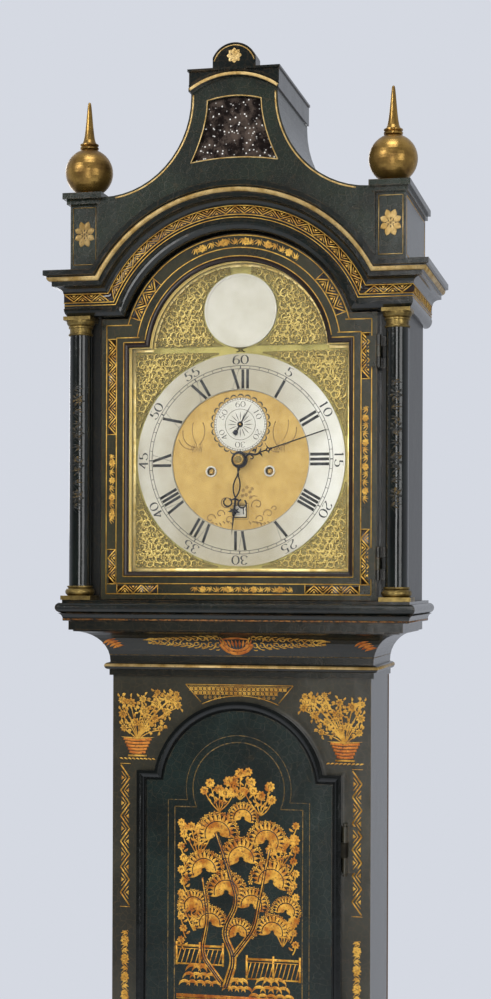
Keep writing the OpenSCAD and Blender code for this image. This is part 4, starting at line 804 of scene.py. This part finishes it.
surface(tree, {"Base Color": tone, "Metallic": whole, "Roughness": dim})
dress(foxed, "mirror_plate")

# Cresting: an arched cap over the mirror with a disc on it, black with a gilt arch and a rosette.
# It closes the pediment's neck.
dress(hood_japan, "pediment_cresting")
cap = curl((0, 393.8), 101.2, 101.2, 90 - 35.2, 90 + 35.2, 2.3, n=30)
rosette = blossom((0, 519), 10, 8) + blossom((0, 519), 5, 8)
rosette.append(curl((0, 505), 27.5, 27.5, 16, 164, 0.8, n=24))
strokes("cresting_gilt_arch", [cap], flat(-59), 0.4, pale_gold, "hood")
strokes("cresting_rosette", rosette, flat(-54), 0.4, pale_gold, "hood")

# Columns: turned shafts, polished black, with a gilt trail of leaves faded in their middle third.
# They stand free at the hood's front corners, in brass bases and capitals.
dress(japan("column_japan", "#080c0b", "#121815", "#2c2117", 0.08), "hood_columns")
shadow_gold = gilding("nearly_lost_gilding", "#2a2414", "#5f4c26", "#0d100d", 0.4)
trail = [(line, half * 0.6) for line, half in turned(spray(170, 24, 15, 4), (12, -70), 90)]


def shaft(middle):
    """Onto a column at x = middle: u is arc length round it from its front, and v its height."""
    return lambda u, v, lift: np.stack([middle + (14.5 + lift) * np.sin(u / 14.5),
                                        -37 - (14.5 + lift) * np.cos(u / 14.5), v], -1)


for x, name in ((-211, "column_trail_left"), (211, "column_trail_right")):
    strokes(name, trail, shaft(x), 0.15, shadow_gold, "hood")


# Hood door: an oak frame with a break-arch top, japanned olive, round the glass. Panels of zigzag
# and flowers on red-brown lacquer run round it between gilt lines.
dress(japan("olive_japan", "#25261b", "#373626", "#5d4626"), "hood_door_frame", "hood_door_hinges")
door_ground, hood_door_lines = [], []
for x, foot, shoulder, r, arc_r, a in ((177, -176.5, 178, 148, 153, 15),
                                       (163.4, -162.9, 161.5, 134.4, 137, 10)):
    hood_door_lines += break_arch(x, foot, shoulder, math.sqrt(r * r - (shoulder - arch_z) ** 2), 0.8)
    hood_door_lines.append(curl((0, arch_z), arc_r, arc_r, a, 180 - a, 0.8, n=50))


def inlay(length, zig, high=10.5, pitch=11, low=-5.25, foot=-6.3, head=6.3, wide=6.2, blooms=4, n=2):
    """A panel of the band along u: its lacquer, and its gilding, which is a zigzag between two end
    lines. Or it has no lacquer, and its gilding is a spray."""
    if not zig:
        return [], turned(spray(length, high + 0.5, pitch - 1, blooms), (0, -(high + 0.5) / 2))
    lines = turned(zigzag(length, high, pitch, 1.05), (0, low))
    lines += [bow((u, foot), (u, head), 0, 0.6) for u in (0, length)]
    return [bow((0, 0), (length, 0), 0, wide, n=n)], lines


for x, low, high, zig in ((-169.2, -163.5, -118, True), (-169.2, -84, 8, False), (-169.2, 34, 160, True),
                          (169.2, -163.5, -92, True), (169.2, -59, 66, False), (169.2, 101, 160, True)):
    lacquer, gilt = inlay(high - low, zig)
    door_ground += turned(lacquer, (x, low), 90)
    hood_door_lines += turned(gilt, (x, low), 90)
for left, right, zig in ((-162, -106, True), (-62, 75, False), (91, 162, True)):
    lacquer, gilt = inlay(right - left, zig, low=-5.2, head=6.2)
    door_ground += turned(lacquer, (left, -170.2))
    hood_door_lines += turned(gilt, (left, -170.2))
for left, right, zig in ((-71, -48.5, True), (-25, 34, False), (48.5, 71, True)):
    start, end = 145 * math.radians(left), 145 * math.radians(right)
    lacquer, gilt = inlay(end - start, zig, 12.5, 12, -6.25, -8, 8, 7.4, 5, 30)
    door_ground += arched(turned(lacquer, (start, 0)), arch_z, 145)
    hood_door_lines += arched(turned(gilt, (start, 0)), arch_z, 145)


def door_face(u, v, lift):
    """Onto the hood door, and over its two hinge leaves, which stand 1.4 mm proud of it."""
    leaf = (u > 169.5) & (np.abs(np.abs(v) - 136) < 20.5)
    return np.stack([u, -31.05 - lift - 1.4 * leaf, v], -1)


strokes("hood_door_lacquer", door_ground, flat(-31), 0.1, red_lacquer, "hood_door")
strokes("hood_door_gilding", hood_door_lines, door_face, 0.35, hood_gold, "hood_door")

# Ovolo and slip: a moulding of dark walnut, rubbed orange on its edges, holds the glass from the
# front, and a gilt slip from behind. Both are one node, so one finish tells them apart by depth.
slip, tree, spot = finish("walnut_ovolo_and_gilt_slip")
wood = drift(tree, spot, 12, 5.0, 0.65, 0.0, 1.0, "#0a0706", "#2c180b")
leaf = drift(tree, spot, 12, 5.0, 0.65, 0.0, 1.0, "#eac766", "#fbe6a6")
place = add(tree, "SeparateXYZ", {0: spot})
behind = add(tree, "Math", {0: place.outputs["Y"], 1: dial_centre[1] - 0.025}, operation="GREATER_THAN")
tone = add(tree, "Mix", {"Factor": behind, "A": wood, "B": leaf}, data_type="RGBA")
whole = add(tree, "Math", {0: behind, 1: 0.1}, operation="MULTIPLY")
surface(tree, {"Base Color": tone, "Metallic": whole, "Roughness": 0.25})
dress(slip, "hood_door_ovolo")
ovolo_lines = break_arch(153.7, -153.7, 155.2, 125.1, 0.7)
ovolo_lines.append(curl((0, arch_z), 126.2, 126.2, 9, 171, 0.7, n=50))
strokes("ovolo_gilt_line", ovolo_lines, flat(-31.1), 0.4, hood_gold, "hood_door")

# Glass: crown glass 2.5 mm thick, clear with a breath of green. Lamps shine through it as through
# thin glass, so that it casts no dark shadow on the dial.
pane, tree, spot = finish("old_crown_glass")
crown = add(tree, "BsdfPrincipled", {"Base Color": "#fcfdfc", "Roughness": 0.02, "Transmission Weight": 1.0,
                                     "IOR": 1.5})
clear = add(tree, "BsdfTransparent", {"Color": "#fbfcfb"})
shade = add(tree, "LightPath").outputs["Is Shadow Ray"]
add(tree, "OutputMaterial", {"Surface": add(tree, "MixShader", {0: shade, 1: crown, 2: clear})})
dress(pane, "hood_door_glass")


# Dial plate: cast brass, hammered and scraped, plain round its edge and matted with a fine punch
# inside the chapter ring, where it is fire-gilt. It fills the square and the arch behind the glass.
plate, tree, spot = finish("dial_plate_brass")
place = add(tree, "SeparateXYZ", {0: spot})
high = add(tree, "Math", {0: place.outputs["Z"], 1: dial_centre[2]}, operation="SUBTRACT")
across = add(tree, "CombineXYZ", {0: place.outputs["X"], 1: high, 2: 0.0})
far = add(tree, "VectorMath", {0: across}, operation="LENGTH")
inside = add(tree, "Math", {0: far, 1: 0.0935}, operation="LESS_THAN")
edge_tone = drift(tree, spot, 24, 6.0, 0.65, 0.35, 0.65, "#7e7436", "#9c8f4c")
gilt_tone = drift(tree, spot, 24, 6.0, 0.65, 0.35, 0.65, "#9a7b3c", "#b0914e")
tone = add(tree, "Mix", {"Factor": inside, "A": edge_tone, "B": gilt_tone}, data_type="RGBA")
punch = add(tree, "TexVoronoi", {"Vector": spot, "Scale": 1000 / 1.1, "Randomness": 0.9})
# painted shade: the colour darkens towards the middle of each punch pit, where the bump sinks it
pit_shade = add(tree, "MapRange", {"Value": punch, "From Max": 0.6, "To Min": 0.7})
tone = add(tree, "Mix", {"Factor": 0.4, "A": tone, "B": pit_shade}, data_type="RGBA", blend_type="MULTIPLY")
low = add(tree, "Bump", {"Height": punch, "Distance": 0.0002})
surface(tree, {"Base Color": tone, "Metallic": 0.45, "Roughness": 0.46, "Normal": low})
dress(plate, "dial_plate")

# Chapter ring, seconds disc and boss: brass silvered with a dull white paste. The engraving is cut
# with a graver and filled with black wax. The boss in the arch is left bare. A painted sheen, as of
# turned grain lit from the side, stays bright at the ring's right; the ring's colour is painted darker
# at its head and foot and a little at its left, and less so inside it and in the arch.
silvered, tree, spot = finish("silvered_brass")
tone = drift(tree, spot, 30, 5.0, 0.6, 0.35, 0.68, "#c8c5bd", "#bab6aa")
place = add(tree, "SeparateXYZ", {0: spot})
far = add(tree, "VectorMath", {0: spot, 1: dial_centre}, operation="DISTANCE")
# painted sheen: bright towards the ring's right and half as bright towards its left; the arch and the inside
# of the ring are partly spared the painted darkening
right, left, head, inner = [
    add(tree, "MapRange", {"Value": value, "From Min": clear, "From Max": full, "To Max": most})
    for value, clear, full, most in (
        (place.outputs["X"], 0.04, 0.12, 1.0), (place.outputs["X"], -0.07, -0.13, 0.45),
        (place.outputs["Z"], 1.904, 1.915, 0.5), (far, 0.089, 0.086, 0.65))]
painted_sheen = add(tree, "Math", {0: right, 1: left})
for mask in (head, inner):
    painted_sheen = add(tree, "Math", {0: painted_sheen, 1: mask}, operation="MAXIMUM")
# painted shade: the silvered colour is darkened wherever the painted sheen is missing
dull = add(tree, "MapRange", {"Value": painted_sheen, "To Min": 1.0, "To Max": 0.0})
tone = add(tree, "Mix", {"Factor": dull, "A": tone, "B": "#c9c2b1"}, data_type="RGBA", blend_type="MULTIPLY")
surface(tree, {"Base Color": tone, "Metallic": 0.3, "Roughness": 0.4,
               "Normal": fine_grain(tree, spot, 0.8, 0.00004)})
dress(silvered, "dial_rings", "date_ring")
wax, tree, spot = finish("black_engraving_wax")
crumb = add(tree, "TexNoise", {"Vector": spot, "Scale": 1000 / 1.5, "Detail": 3.0})
tone = add(tree, "Mix", {"Factor": crumb, "A": "#060607", "B": "#19191b"}, data_type="RGBA")
low = add(tree, "Bump", {"Height": crumb, "Distance": 0.00004})
surface(tree, {"Base Color": tone, "Roughness": 0.55, "Normal": low})


def engrave(name, lines, y, body="case"):
    """Cuts of the graver filled with wax, as strokes 0.1 mm high."""
    strokes(name, lines, flat(y), 0.1, wax, body, 0.02)


def hoop(name, section, centre, made, body, count=72):
    """A ring turned about an axis that runs front to back through centre: a closed section of
    (radius, y) points goes round a full circle and meets itself."""
    a = np.linspace(0, 2 * np.pi, count, endpoint=False)[:, None]
    r, y = np.array(section, float).T
    grid = np.stack([centre[0] + r * np.sin(a), y + 0 * a, centre[1] + r * np.cos(a)], -1)
    at = np.arange(count * len(r)).reshape(count, len(r))
    there = np.roll(at, -1, 0)
    faces = np.stack([at, np.roll(at, -1, 1), np.roll(there, -1, 1), there], -1).reshape(-1, 4)
    make(name, grid.reshape(-1, 3), faces.tolist(), made, body, False)


def ring(r, half, c=(0, 0), n=72):
    """A full circle as a stroke."""
    return curl(c, r, r, 0, 360, half, n=n)


def oval(cx, cz, rx, rz, a0=0, a1=360, n=17):
    """Points along an ellipse."""
    a = np.radians(np.linspace(a0, a1, n))
    return np.stack([cx + rx * np.cos(a), cz + rz * np.sin(a)], 1)


def line(x0, z0, x1, z1, rise=0.0, n=None):
    """Points along a straight or bowed line."""
    return bow((x0, z0), (x1, z1), rise, n=n or (9 if rise else 3))[0]


def pen(points, thick):
    """A stroke of a broad pen: thick where it runs up or down, thin where it runs across."""
    along = np.gradient(points, axis=0)
    upright = np.abs(along[:, 1]) / (np.linalg.norm(along, axis=1) + 1e-9)
    return points, thick * (0.25 + 0.75 * upright ** 1.5)


def figure(word, high, thick):
    """Old figures about their middle, nearly as wide as they are high, each of a few pen strokes
    in a box 0.84 wide."""
    drawn = {
        "0": [oval(0.42, 0.5, 0.38, 0.48)],
        "1": [line(0.42, 0, 0.42, 1, n=5), line(0.42, 0.98, 0.28, 0.86)],
        "2": [oval(0.42, 0.7, 0.3, 0.28, 170, -50), line(0.61, 0.49, 0.1, 0.04, -0.05),
              line(0.08, 0.05, 0.8, 0.05, -0.06)],
        "3": [oval(0.4, 0.75, 0.28, 0.23, 165, -85), oval(0.4, 0.27, 0.34, 0.26, 85, -165)],
        "4": [line(0.56, 0, 0.56, 1, n=5), line(0.56, 1, 0.04, 0.32, 0.02), line(0.04, 0.32, 0.8, 0.32)],
        "5": [line(0.68, 0.96, 0.24, 0.96), line(0.24, 0.96, 0.2, 0.56),
              oval(0.38, 0.31, 0.36, 0.29, 125, -160)],
        "6": [oval(0.42, 0.3, 0.34, 0.29), line(0.66, 0.97, 0.09, 0.36, -0.2)],
        "7": [line(0.08, 0.96, 0.78, 0.96), line(0.78, 0.96, 0.3, 0, 0.08)],
        "8": [oval(0.42, 0.75, 0.27, 0.23), oval(0.42, 0.27, 0.34, 0.26)],
        "9": [oval(0.42, 0.7, 0.34, 0.29), line(0.18, 0.03, 0.75, 0.64, -0.2)]}
    return [pen((points + (0.94 * (k - len(word) / 2) + 0.05, -0.5)) * high, thick)
            for k, c in enumerate(word) for points in drawn[c]]


def roman(word, high):
    """A Roman numeral about the middle of its foot, narrower if it is long: broad strokes of a pen,
    hair strokes across them, and thin serifs."""
    sizes = {"I": (6.4, 0.0, 0.0), "V": (11.4, 4.3, 0.0), "X": (13.0, 4.2, 4.2)}
    lines, x = [], -sum(sizes[c][0] for c in word) / 2
    for c in word:
        wide, head, foot = sizes[c]
        mid = x + wide / 2
        if c == "I":
            lines.append(bow((mid, 0), (mid, high), 0, 2.05))
        else:
            lines += [bow((mid - head, high), (mid + foot, 0), 0, 2.0),
                      bow((mid + head, high), (mid - foot, 0), 0, 0.25)]
        for z, reach in ((high - 0.2, head), (0.2, foot)):
            for at in sorted({mid - reach, mid + reach}):
                lines.append(bow((at - 2.2, z), (at + 2.2, z), 0, 0.22))
        x += wide
    return [(points * (0.86 if len(word) > 3 else 1.0, 1), half) for points, half in lines]


def round_dial(lines, minute, r=0, c=(0, 0)):
    """Strokes drawn about their foot, stood on radius r at that minute with their tops outwards."""
    a = math.radians(6 * minute)
    return turned(lines, (c[0] + r * math.sin(a), c[1] + r * math.cos(a)), -6 * minute)


def graduated(near, far, half, every, high, thick, r, c=(0, 0)):
    """Sixty marks between two radii, twice as broad at each fifth, with figures at some of them."""
    lines = []
    for m in range(60):
        lines += round_dial([bow((0, near), (0, far), 0, half if m % 5 else 2 * half)], m, 0, c)
        if m % every == 0:
            lines += round_dial(figure(str(m or 60), high, thick), m, r, c)
    return lines


engraving = [ring(123.8, 0.42), ring(119.8, 0.42), ring(92.6, 0.3)]
engraving += graduated(119.8, 123.8, 0.4, 5, 12.0, 1.2, 131.6)
for h, word in enumerate("XII I II III IIII V VI VII VIII IX X XI".split()):
    engraving += round_dial(roman(word, 25), 5 * h, 93.6)
engrave("chapter_engraving", engraving, -10.6)
seconds = (0, 46.5)
disc = [(2.4, -9.0), (2.4, -10.1), (20.2, -10.1), (20.2, -9.0)]
hoop("seconds_disc", disc, seconds, silvered, "case")
engraving = [ring(35.0, 0.3, seconds), ring(32.6, 0.2, seconds), ring(20.2, 0.3, seconds)]
engraving += graduated(32.6, 35, 0.3, 10, 7.6, 0.55, 26.6, seconds)
for k in range(16):
    engraving += round_dial([bow((0, 5), (0, 17), 0, 0.45, "leaf")], 3.75 * k, c=seconds)
engrave("seconds_engraving", engraving, -10.2)
days = []
for d in range(31):
    days += round_dial(figure(str((d + 16) % 31 + 1), 8.0, 0.7), 30 + 60 * d / 31, 67.5)
engrave("date_numerals", days, -6.4, "date_ring")

# Engraving of the gilt centre: thin fronds, a posy and a cloud of scrolls cut into the matting and
# filled brown, with dark lobes round the seconds disc and a dark frame round the date.
etch, tree, spot = finish("brown_engraved_line")
tone = drift(tree, spot, 10, 3.0, 0.5, 0.0, 1.0, "#4a3112", "#80602c")
surface(tree, {"Base Color": tone, "Roughness": 0.6})
plate_y = -9
cuts = [bow(p, q, rise, half) for p, q, rise, half in (
    ((-51, 50), (-56, 20), 5, 0.4), ((-78, 40), (-62, 17), -6, 0.4), ((-84, 28), (-64, 14), -4, 0.35),
    ((47, 50), (53, 14), -6, 0.4), ((75, 42), (57, 18), 6, 0.4), ((33, 22), (52, 10), -4, 0.35),
    ((64, 52), (56, 24), 3, 0.3), ((-64, 50), (-60, 22), -3, 0.3))]
for k in range(16):
    for s, x in ((-1, -59), (1, 54)):
        foot, tip = (x + 1.6 * (k % 8) - 6, 8 + 1.3 * (k % 5)), (x + 2.1 * (k % 8) - 8, 18 + 2.4 * (k % 4))
        cuts.append(bow(foot, tip, s, 0.3, "leaf", 5))
cuts += [curl(c, r0, r1, a0, a1, half, n=n) for c, r0, r1, a0, a1, half, n in (
    ((-40, -77), 7, 1.5, 0, 330, 0.45, 18), ((-27, -71), 6.5, 1.5, -10, 300, 0.45, 18),
    ((-15, -79), 6, 1.5, 0, 300, 0.45, 18), ((-19, -56), 6.5, 6.5, 20, 300, 0.5, 18),
    ((23, -59), 8, 2, 200, -140, 0.45, 18), ((38, -71), 7, 1.5, 190, -140, 0.45, 18),
    ((27, -78), 6, 1.5, 180, -120, 0.45, 18), ((46, -64), 4, 1, 180, -120, 0.4, 14))]
cuts += [bow((12, -52), (24, -49), 3, 0.5, "leaf"), bow((14, -82), (34, -86), 2, 0.5, "leaf")]
for k in range(18):
    x = -44 + 5.0 * k
    if abs(x) > 10:
        tip = (x + 3.4, -85.5 + 2.2 * math.sin(1.7 * k))
        cuts.append(bow((x, -82 - 1.5 * math.sin(k)), tip, 1.0, 0.6, "leaf", 6))
for x, z in ((4, -40), (9, -36), (13, -42), (8, -46), (16, -38), (3, -47), (14, -49)):
    cuts += blossom((x, z), 2.6, 6, 20 * x, 0.5)
cuts = [(points, half * 1.5) for points, half in cuts]
strokes("centre_engraving", cuts, flat(plate_y), 0.1, etch, "case", 0.02)
lobes = panel(-8.7, -75.7, 8.7, -59.3, 0.8) + panel(-10.9, -77.9, 10.9, -57.1, 0.25)
for k, foot in enumerate(oval(*seconds, 35.6, 35.6, 0, 345, 24)):
    lobes.append(curl(foot, 4.0, 4.0, 15 * k - 96, 15 * k + 96, 1.0, "leaf", 11))
engrave("dark_engraving", lobes, plate_y)
collet = [(5.3, -9.5), (5.3, -10.5), (5.9, -11.0), (6.8, -10.9), (7.3, -10.2), (7.3, -9.5)]
for x, name in ((-39.3, "winding_collet_left"), (39.3, "winding_collet_right")):
    hoop(name, collet, (x, -15), silvered, "case", 40)

# Spandrels: corner pieces cast in brass, of scrolls and leaves over a matted ground, chased and
# gilt. Four fill the corners outside the chapter ring, and two the arch beside the boss.
cast, tree, spot = finish("cast_gilt_brass")
place = add(tree, "SeparateXYZ", {0: spot})
# painted shade: the lower the relief lies, the darker its colour, down to the dark ground under it
recess_shade = add(tree, "MapRange", {"Value": place.outputs["Y"], "From Min": dial_centre[1] - 0.0119,
                              "From Max": dial_centre[1] - 0.0097})
tone = drift(tree, spot, 5, 4.0, 0.5, 0.0, 1.0, "#a38b43", "#d2bc72")
tone = add(tree, "Mix", {"Factor": recess_shade, "A": tone, "B": "#544a1c"}, data_type="RGBA")
surface(tree, {"Base Color": tone, "Metallic": 0.6, "Roughness": 0.27,
               "Normal": fine_grain(tree, spot, 0.9, 0.0001)})


def casting(seed, places, room):
    """Scrollwork that fills a room: a curl at each place, as large as room(u, v) lets it be, turned
    either way, with leaves off its back."""
    pick = np.random.default_rng(seed)
    lines = []
    for at in places:
        r = min(room(*at) * 0.9, 5.4 + 2.4 * pick.random())
        if r < 1.1:
            continue
        a, way = 360 * pick.random(), 1 if pick.random() > 0.5 else -1
        lines.append(curl(at, r, r * 0.15, a, a + way * 430, 0.24 * r, "tail", 18))
        for b in np.radians(a + way * (25 + 70 * np.arange(5))):
            d = np.array([math.cos(b), math.sin(b)])
            lines.append(bow(at + d * r * 0.75, at + d * (r + 1.6), way * 0.8, 0.2 * r + 0.3, "leaf", 6))
    return lines


def lattice(u0, u1, v0, v1, step):
    """Points in staggered rows over a box."""
    return [(u, v) for row, v in enumerate(np.arange(v0, v1, step * 0.86))
            for u in np.arange(u0 + (row % 2) * step / 2, u1, step)]


def ground(name, edge):
    """The flat ground under a casting: a plate 1.2 mm thick with that outline, which its finish paints dark
    as shade.
    """
    count = len(edge)
    points = np.concatenate([np.insert(edge, 1, y, axis=1) for y in (-10.2, -9.0)])
    sides = [(k, (k + 1) % count, count + (k + 1) % count, count + k) for k in range(count)]
    ends = [tuple(range(count)), tuple(range(2 * count - 1, count - 1, -1))]
    make(name, points, ends + sides, cast, "case", False)


def corner_room(u, v):
    """How far a point is inside a corner piece: from its two edges and the chapter ring."""
    return min(142 - u, 142 - v, math.hypot(u, v) - 141.6)


def arch_room(u, v):
    """How far a point is inside an arch piece: from the arch's edge, the boss, its foot and the middle."""
    return min(116.5 - math.hypot(u, v - arch_z), math.hypot(u, v - 196) - 50.5, v - 149.5, u - 13)


corner_edge = np.concatenate([oval(0, 0, 142.5, 142.5, 78, 12, 20),
                              [(141.5, 30), (141.5, 141.5), (30, 141.5)]])
arch_edge = np.concatenate([oval(0, arch_z, 116, 116, 5.6, 83, 24), oval(0, 196, 51, 51, 74, -65, 24)])
corner_piece = casting(11, lattice(18, 144, 18, 144, 8.6), corner_room)
arch_piece = casting(23, lattice(12, 118, 150, 262, 8.6), arch_room)
for name, piece, edge, way in (
        ("spandrel_top_left", corner_piece, corner_edge, (-1, 1)),
        ("spandrel_top_right", corner_piece, corner_edge, (1, 1)),
        ("spandrel_foot_left", corner_piece, corner_edge, (-1, -1)),
        ("spandrel_foot_right", corner_piece, corner_edge, (1, -1)),
        ("spandrel_arch_left", arch_piece, arch_edge, (-1, 1)),
        ("spandrel_arch_right", arch_piece, arch_edge, (1, 1))):
    ground(name + "_ground", edge * way)
    lines = [(points * way, half) for points, half in piece]
    relief = strokes(name, lines, flat(-10.2), 2.6, cast, "case", 0.3)
    if name == "spandrel_top_left":
        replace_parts(relief, "spandrels")
border = both([bow((0, 143), (9, 147), 2, 1.3, "leaf"), bow((1, 145), (7, 142), -1, 1.0, "leaf")])
edge = both([bow((0, -144.6), (144.6, -144.6), 0, 2.3), bow((144.6, -146.8), (144.6, 148.2), 0, 2.3),
             bow((146.8, 146), (118, 146), 0, 2.3), curl((0, arch_z), 117.3, 117.3, 5, 90, 2.3, n=30)])
bright_border = gilding("bright_dial_border", "#dcbc68", "#f8e2a0", "#b4944c", 0.68)
strokes("dial_edge", edge, flat(plate_y), 0.35, bright_border, "case", 0.1)
strokes("dial_borders", border + blossom((0, 145), 3.4), flat(plate_y), 0.8, cast, "case", 0.1)

# Hands: pierced and filed from steel, crowned, and blued by heat to a dark violet grey. A domed
# brass collet holds the minute hand, and the seconds hand has a ball on its tail.
blued = metal("blued_steel", "#14161d", "#2a2b31", 0.3, 6)
hour = [ring(9.4, 1.7, n=30), bow((1, 11), (-1, 22)), bow((-1, 11), (1, 22)), bow((0, 48), (0, 70), 0, 1.3),
        bow((0, 65), (0, 76), 0, 2.6, "leaf"), bow((0, 70), (0, 99), 0, 1.3, "tail", 9)]
hour += both([bow((0.3, 21), (0.3, 50), -4.2, 0.9, n=14), curl((9.8, 57), 5.4, 5.4, -60, 250, n=20),
              bow((0, 50), (6, 53), 1.0, 1.2, "leaf"), bow((1, 64), (8, 69), 1.6, 1.5, "leaf"),
              bow((0, 71), (6, 65), -1.2, 1.3, "leaf")])
minute = [ring(8.0, 1.8, n=30), ring(2.2, 0.9, (0, 41), 16), bow((0, 9), (-1, 19), 1.6, 1.4, n=10),
          bow((-1, 19), (0, 30), -1.6, 1.3, n=10), bow((0, 30), (0, 40), 0, 0.9),
          bow((0, 43), (0, 47.5), 0, 1.7, "leaf"),
          bow((0, 43), (0, 118), 0, 0.85, "even", 12), bow((0, 116), (0, 124), 0, 0.85, "tail", 6),
          curl((3.2, 17), 3.0, 1.2, 180, -90, 0.8, n=12), curl((-4.4, 23), 2.8, 1.2, 0, 270, 0.8, n=12),
          bow((0, 27), (6.5, 31), 1.4, 1.2, "leaf"), bow((0, 27), (-5, 33), -1.0, 1.0, "leaf"),
          *both([bow((2, 41), (5.2, 41), 0, 0.9, "leaf")])]
sweep = [ring(2.8, 1.1, n=18), bow((0, 0), (0, 31), 0, 0.8, "tail", 10), bow((0, 0), (0, -11), 0, 0.8),
         ring(1.7, 1.6, (0, -12.4), 16)]
for node, lines, y, rise, body in (("hour_hand", turned(hour, angle=-186), -14.4, 1.1, "hour"),
                                   ("minute_hand", turned(minute, angle=-72), -18.8, 1.2, "centre"),
                                   ("seconds_hand", turned(sweep, seconds, -30), -11.6, 0.7, "escape")):
    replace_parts(strokes(node + "_steel", lines, flat(y), rise, blued, body, 0.1), node)
dome = [(0.4 + 7.2 * math.sin(t), -20.0 - 2.9 * math.cos(t)) for t in np.linspace(0, math.pi / 2, 8)]
hoop("minute_collet", [(0.4, -19.6), *dome, (7.6, -19.6)], (0, 0), case_brass, "centre", 40)

# Movement: cast brass plates between turned pillars, cut brass wheels, steel pinions and a bell. It
# stands on the seatboard behind the dial.
dress(metal("movement_brass", "#b89250", "#8a6831", 0.28, 20), "movement_plates", "plate_pillars")
dress(metal("wheel_brass", "#c49d55", "#95723a", 0.24, 9), "hour_wheel", "centre_wheel", "minute_wheel",
      "escape_wheel", "third_wheel", "going_great_wheel", "going_barrel", "strike_great_wheel",
      "strike_barrel", "pin_wheel", "gathering_wheel", "warning_wheel", "fly")
dress(metal("bell_metal", "#a98f5d", "#6f5f3c", 0.26, 14), "bell")
dress(metal("forged_steel", "#6c6e70", "#3f3d3b", 0.34, 7), "hammer", "anchor", "pendulum_rod")

# Pendulum bob and weights: lead inside thin brass cases. The weights hang from gut lines, twisted
# of two plies, that run round their sheaves.
dress(metal("weight_case_brass", "#bb9450", "#7d5d2e", 0.24, 30), "pendulum_bob", "going_weight",
      "strike_weight")
gut, tree, spot = finish("twisted_gut")
ply = add(tree, "TexWave", {"Vector": spot, "Scale": 1000 / 3 / 6.3, "Distortion": 0.6},
          bands_direction="Z").outputs["Fac"]
# painted shade: the colour is darker in the grooves between the plies, where the bump sinks
tone = add(tree, "Mix", {"Factor": ply, "A": "#8a6a3a", "B": "#c3a570"}, data_type="RGBA")
low = add(tree, "Bump", {"Height": ply, "Distance": 0.0002})
surface(tree, {"Base Color": tone, "Roughness": 0.45, "Normal": low})
dress(gut, "going_line", "strike_line")
